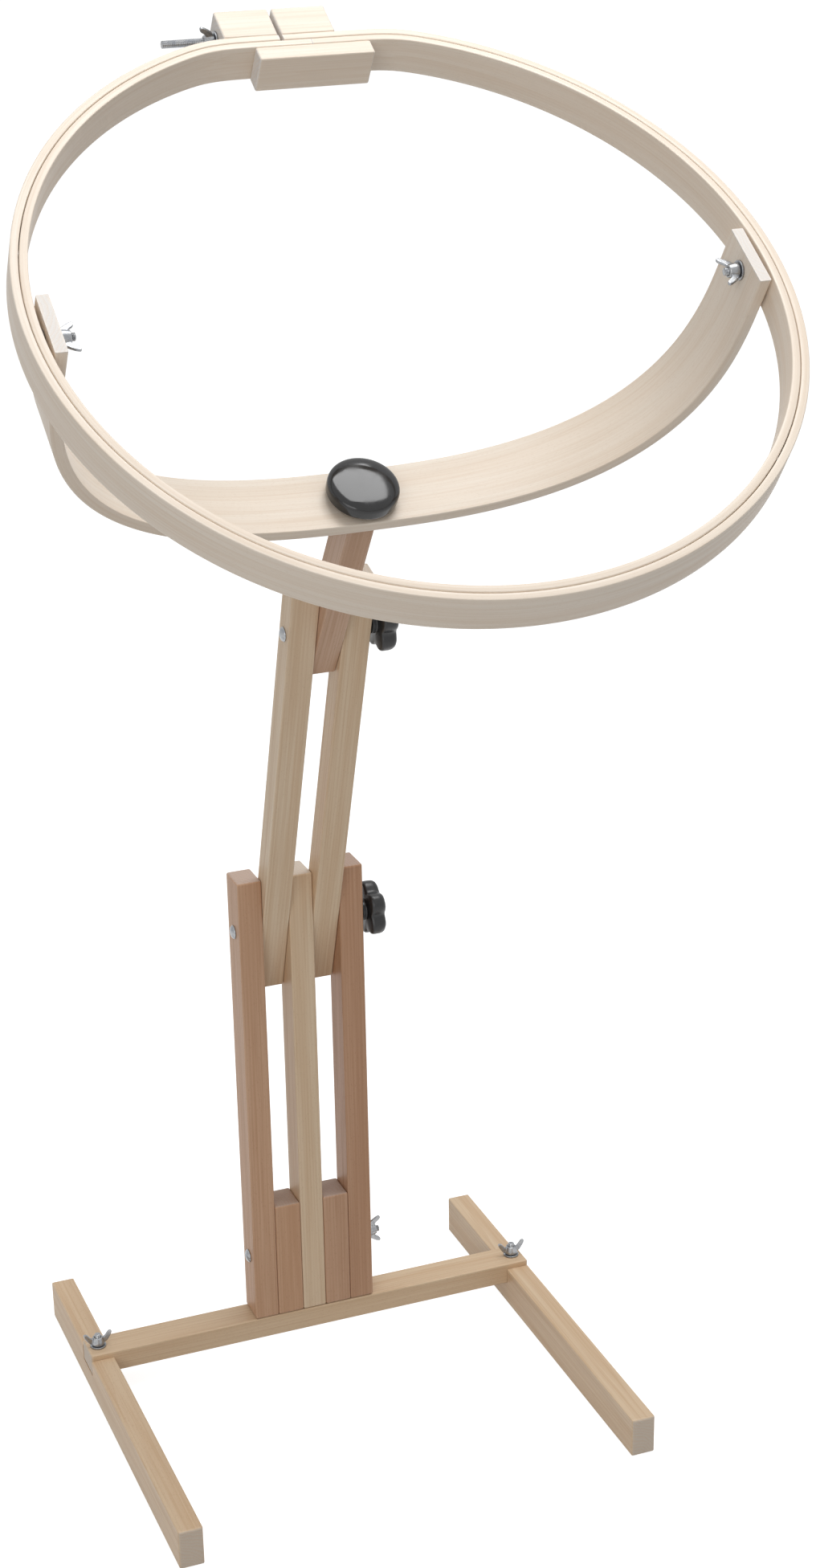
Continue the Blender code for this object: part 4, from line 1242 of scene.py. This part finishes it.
class HOOP_OT_bolts(bpy.types.Operator):
    """Makes the bolts, the stud and the screws, with their threads"""

    bl_idname = "hoop.build_bolts"
    bl_label = "Bolts and screws"

    def execute(self, context):
        carriage_bolt("base_bolt", STAND, thread=0.022)
        carriage_bolt("arm_bolt", STAND, thread=0.016)
        carriage_bolt("neck_bolt", ARMS, thread=0.016)
        carriage_bolt("clamp_bolt", HOOP, thread=0.064, axis="-X")
        for side in ("left", "right"):
            self.foot_bolt(f"foot_bolt_{side}")
        self.hoop_bolt("hoop_bolt_left", "X")
        self.hoop_bolt("hoop_bolt_right", "-X")
        self.yoke_stud("yoke_stud")
        for side in ("left", "right"):
            self.spacer_screw(f"spacer_screw_{side}")
        return {"FINISHED"}

    def foot_bolt(self, node):
        """A bolt with a low round head, up through a foot and the crossbar."""
        low, high = extent(node, STAND)
        middle = (low + high) / 2
        radius = (high.x - low.x) / 2
        head, rim, thread = 0.0035, 0.0005, 0.016
        profile = rounded([(0, 0, 0), (radius, 0, rim), (radius, head, rim), (BOLT_RADIUS, head, 0)])
        end = high.z - low.z - BOLT_RADIUS * BOLT_CHAMFER
        rod = threaded(profile, BOLT_RADIUS, end - thread, end)
        place_turned(node, rod, STAND, (middle.x, middle.y, low.z), "Z")

    def hoop_bolt(self, node, axis):
        """A flat-headed bolt, from the inner ring in through an end of the yoke."""
        low, high = extent(node, HOOP)
        radius = (high.z - low.z) / 2
        head, rim, thread = 0.0028, 0.0003, 0.014
        profile = rounded([(0, 0, 0), (radius, 0, rim), (BOLT_RADIUS, head, 0)])
        end = high.x - low.x - BOLT_RADIUS * BOLT_CHAMFER
        rod = threaded(profile, BOLT_RADIUS, end - thread, end)
        place_turned(node, rod, HOOP, (low.x if axis == "X" else high.x, 0, 0), axis)

    def yoke_stud(self, node):
        """A stud set in the neck, threaded where the round knob goes on."""
        low, high = extent(node, NECK)
        chamfer, thread = 0.3, 0.016
        foot = [(0, 0), (STUD_RADIUS * (1 - chamfer), 0), (STUD_RADIUS, STUD_RADIUS * chamfer)]
        end = high.z - low.z - STUD_RADIUS * BOLT_CHAMFER
        stud = threaded(foot, STUD_RADIUS, end - thread, end)
        place_turned(node, stud, NECK, (0, 0, low.z), "Z")

    def spacer_screw(self, node):
        """A countersunk wood screw with a pointed tip."""
        low, high = extent(node, STAND)
        middle = (low + high) / 2
        radius = (high.x - low.x) / 2
        tip = high.z - low.z
        slot, countersink, plain, point = 0.0006, 0.002, 0.004, 0.0045
        head = rounded([(0, slot, 0), (radius * 0.4, slot, 0), (radius * 0.5, 0, 0),
                        (radius, 0, 0.0002), (SCREW_RADIUS, countersink, 0)])
        shank = tip - point
        screw = threaded(head, SCREW_RADIUS, plain, shank)
        for vertex in screw.vertices:
            if vertex.co.z > shank and vertex.co.xy.length < 1e-6:
                vertex.co.z = tip
        place_turned(node, screw, STAND, (middle.x, 0, low.z), "Z")


class HOOP_OT_washers(bpy.types.Operator):
    """Makes the washers and the hoop's spacers"""

    bl_idname = "hoop.build_washers"
    bl_label = "Washers"

    def execute(self, context):
        bore = BOLT_RADIUS + HOLE_CLEARANCE
        for node, place, axis in (
            ("base_washer", STAND, "X"), ("arm_washer", STAND, "X"), ("neck_washer", ARMS, "X"),
            ("clamp_washer", HOOP, "-X"), ("foot_washer_left", STAND, "Z"),
            ("foot_washer_right", STAND, "Z"), ("hoop_washer_left", HOOP, "X"),
            ("hoop_washer_right", HOOP, "-X"), ("hoop_spacer_left", HOOP, "X"),
            ("hoop_spacer_right", HOOP, "-X"),
        ):
            washer_piece(node, place, axis, bore)
        washer_piece("yoke_washer", NECK, "Z", STUD_RADIUS + HOLE_CLEARANCE)
        return {"FINISHED"}


class HOOP_OT_wing_nuts(bpy.types.Operator):
    """Casts one wing nut and puts a copy on each bolt"""

    bl_idname = "hoop.build_wing_nuts"
    bl_label = "Wing nuts"

    def execute(self, context):
        mesh = wing_nut_mesh()
        wing_nut("base_wing_nut", mesh, STAND, "X")
        wing_nut("foot_wing_nut_left", mesh, STAND, "Z")
        wing_nut("foot_wing_nut_right", mesh, STAND, "Z")
        wing_nut("clamp_wing_nut", mesh, HOOP, "-X")
        wing_nut("hoop_wing_nut_left", mesh, HOOP, "X", wings_across=True)
        wing_nut("hoop_wing_nut_right", mesh, HOOP, "-X", wings_across=True)
        bpy.data.meshes.remove(mesh)
        return {"FINISHED"}


class HOOP_OT_lobed_knobs(bpy.types.Operator):
    """Moulds the two lobed knobs round their brass inserts"""

    bl_idname = "hoop.build_lobed_knobs"
    bl_label = "Lobed knobs"

    def execute(self, context):
        knobs = context.scene.hoop_knobs
        for name, place in (("arm_knob", STAND), ("neck_knob", ARMS)):
            pivot = place.inverted() @ (LOWER_PIVOT if place is STAND else UPPER_PIVOT)
            low, high = extent(name, place)
            radius = max(high.z - pivot.z, pivot.z - low.z, high.y - pivot.y, pivot.y - low.y)
            profile = lobed_profile(radius, high.x - low.x)
            mesh = turned(profile, KNOB_STEPS, lobes=knobs.lobes, depth=2 * knobs.lobe_depth)
            point = (low.x, pivot.y, pivot.z)
            place_turned(name, mesh, place, point, "X", "black_plastic")
            low, high = extent(name + "_insert", place)
            bore = BOLT_RADIUS + HOLE_CLEARANCE
            rim = (high.z - low.z) / 2
            length, ease = high.x - low.x, 0.0003
            insert = turned(rounded([
                (bore, 0.006, 0), (bore, 0, 0.0004), (rim, 0, ease), (rim, length, ease),
                (bore, length, ease), (bore, 0.007, 0),
            ]), closed=True)
            point = (low.x, pivot.y, pivot.z)
            place_turned(name + "_insert", insert, place, point, "X", "brass")
        return {"FINISHED"}


class HOOP_OT_round_knob(bpy.types.Operator):
    """Moulds the glossy round knob that clamps the yoke"""

    bl_idname = "hoop.build_round_knob"
    bl_label = "Round knob"

    def execute(self, context):
        low, high = extent("yoke_knob", NECK)
        radius = (high.x - low.x) / 2
        height = high.z - low.z
        bore = STUD_RADIUS + HOLE_CLEARANCE
        socket = 0.0086
        profile = rounded([
            (0, socket, 0), (bore, socket, 0.0003), (bore, 0, 0.0003),
            (radius * 0.56, 0, 0.0006), (radius * 0.6, 0.003, 0.0008),
            (radius, 0.0032, 0.0016), (radius, height / 2 - 0.0022, 0),
        ])
        crown_steps = 32
        for step in range(1, crown_steps + 1):
            share = math.cos(math.pi / 2 * step / crown_steps)
            crown = height / 2 * (1 + (1 - share**6) ** (1 / 6))
            profile.append((radius * share, crown - (radius * share) ** 2 / 0.36))
        mesh = turned(profile, KNOB_STEPS)
        place_turned("yoke_knob", mesh, NECK, (0, 0, low.z), "Z", "gloss_plastic")
        return {"FINISHED"}


# ---------------------------------------------------------------- stage


CAMERA_TURN = (18.5599, -22.2977, -2.1337)  # yaw, pitch and roll, in degrees
CAMERA_SHIFT = (0.0768, 0.0410)


def seen_directly(graph):
    """1 for rays from the camera, a mirror or a clear piece, else 0."""
    path = graph.node("ShaderNodeLightPath").outputs
    seen = graph.maths("MAXIMUM", path["Is Camera Ray"], path["Is Glossy Ray"])
    return graph.maths("MAXIMUM", seen, path["Is Transmission Ray"])


def area_light(name, place, target, size, power):
    """A square softbox that faces its target."""
    data = bpy.data.lights.new(name, "AREA")
    data.shape = "SQUARE"
    data.size = size
    data.energy = power
    light = add_object(name, data)
    light.location = place
    light.rotation_euler = (Vector(target) - Vector(place)).to_track_quat("-Z", "Y").to_euler()


def lay_floor(stage):
    """A plain floor that shows white and keeps the stand's shadow."""
    shape = bmesh.new()
    bmesh.ops.create_grid(shape, x_segments=2, y_segments=2, size=40)
    floor = add_object("floor", mesh_from(shape, "floor"))
    floor.location = (0, 0, -0.0006)
    material, graph, matt = new_material("floor")
    matt.inputs["Base Color"].default_value = rgba(stage.floor)
    matt.inputs["Roughness"].default_value = 0.9
    matt.inputs["Specular IOR Level"].default_value = 0.0
    glow = graph.node("ShaderNodeEmission", {
        "Color": (1, 1, 1, 1), "Strength": graph.maths("MULTIPLY", seen_directly(graph), 0.87),
    })
    both = graph.node("ShaderNodeAddShader", {0: matt.outputs[0], 1: glow.outputs[0]})
    graph.feed(material.node_tree.nodes["Material Output"].inputs["Surface"], both.outputs[0])
    floor.data.materials.append(material)


def fill_room(stage):
    """Soft light from all sides, which shows as plain white."""
    world = bpy.data.worlds.new("room")
    bpy.context.scene.world = world
    world.use_nodes = True
    graph = Graph(world.node_tree)
    background = world.node_tree.nodes["Background"]
    background.inputs["Color"].default_value = (1, 1, 1, 1)
    strength = graph.maths("MULTIPLY_ADD", seen_directly(graph), 1.0 - stage.room, stage.room)
    graph.feed(background.inputs["Strength"], strength)


def set_camera(stage):
    """Puts the camera up, a little above the hoop and to its left."""
    data = bpy.data.cameras.new("camera")
    camera = add_object("camera", data)
    yaw, pitch, roll = (math.radians(angle) for angle in CAMERA_TURN)
    ahead = Vector((math.sin(yaw) * math.cos(pitch), math.cos(yaw) * math.cos(pitch),
                    math.sin(pitch)))
    level = Vector((math.cos(yaw), -math.sin(yaw), 0))
    upward = level.cross(ahead)
    right = level * math.cos(roll) + upward * math.sin(roll)
    top = upward * math.cos(roll) - level * math.sin(roll)
    place = Matrix((right, top, -ahead)).transposed().to_4x4()
    place.translation = Vector(stage.camera_place)
    camera.matrix_world = place
    data.sensor_width = 36.0
    data.lens = stage.lens
    data.shift_x, data.shift_y = CAMERA_SHIFT
    bpy.context.scene.camera = camera


class HOOP_OT_stage(bpy.types.Operator):
    """Lays the floor, hangs the lights and sets up the camera"""

    bl_idname = "hoop.build_stage"
    bl_label = "Stage"

    def execute(self, context):
        stage = context.scene.hoop_stage
        lay_floor(stage)
        fill_room(stage)
        area_light("overhead", (0.5, 0.1, 3.1), (0.1, 0.0, 0.9), 1.4, stage.overhead)
        area_light("front", (-2.4, -3.0, 2.1), (0.0, 0.0, 0.7), 2.2, stage.front)
        set_camera(stage)
        context.scene.view_settings.view_transform = "Standard"
        return {"FINISHED"}


BUILDERS = (
    HOOP_OT_stage, HOOP_OT_feet, HOOP_OT_crossbar, HOOP_OT_posts, HOOP_OT_arms, HOOP_OT_neck,
    HOOP_OT_yoke, HOOP_OT_inner_ring, HOOP_OT_outer_ring, HOOP_OT_bolts, HOOP_OT_washers,
    HOOP_OT_wing_nuts, HOOP_OT_lobed_knobs, HOOP_OT_round_knob,
)


class HOOP_PT_stand(bpy.types.Panel):
    """Lists the settings and the pieces"""

    bl_idname = "HOOP_PT_stand"
    bl_label = "Hoop on stand"
    bl_space_type = "VIEW_3D"
    bl_region_type = "UI"
    bl_category = "Hoop stand"

    def draw(self, context):
        for key, group in SETTINGS.items():
            box = self.layout.box()
            for name in group.__annotations__:
                box.prop(getattr(context.scene, key), name)
        for builder in BUILDERS:
            self.layout.operator(builder.bl_idname)


CLASSES = (*SETTINGS.values(), *BUILDERS, HOOP_PT_stand)


def register():
    for cls in CLASSES:
        bpy.utils.register_class(cls)
    for key, group in SETTINGS.items():
        setattr(bpy.types.Scene, key, bpy.props.PointerProperty(type=group))


def unregister():
    for key in SETTINGS:
        delattr(bpy.types.Scene, key)
    for cls in reversed(CLASSES):
        bpy.utils.unregister_class(cls)


def main():
    register()
    for builder in BUILDERS:
        group, name = builder.bl_idname.split(".")
        getattr(getattr(bpy.ops, group), name)()


if __name__ == "__main__":
    main()
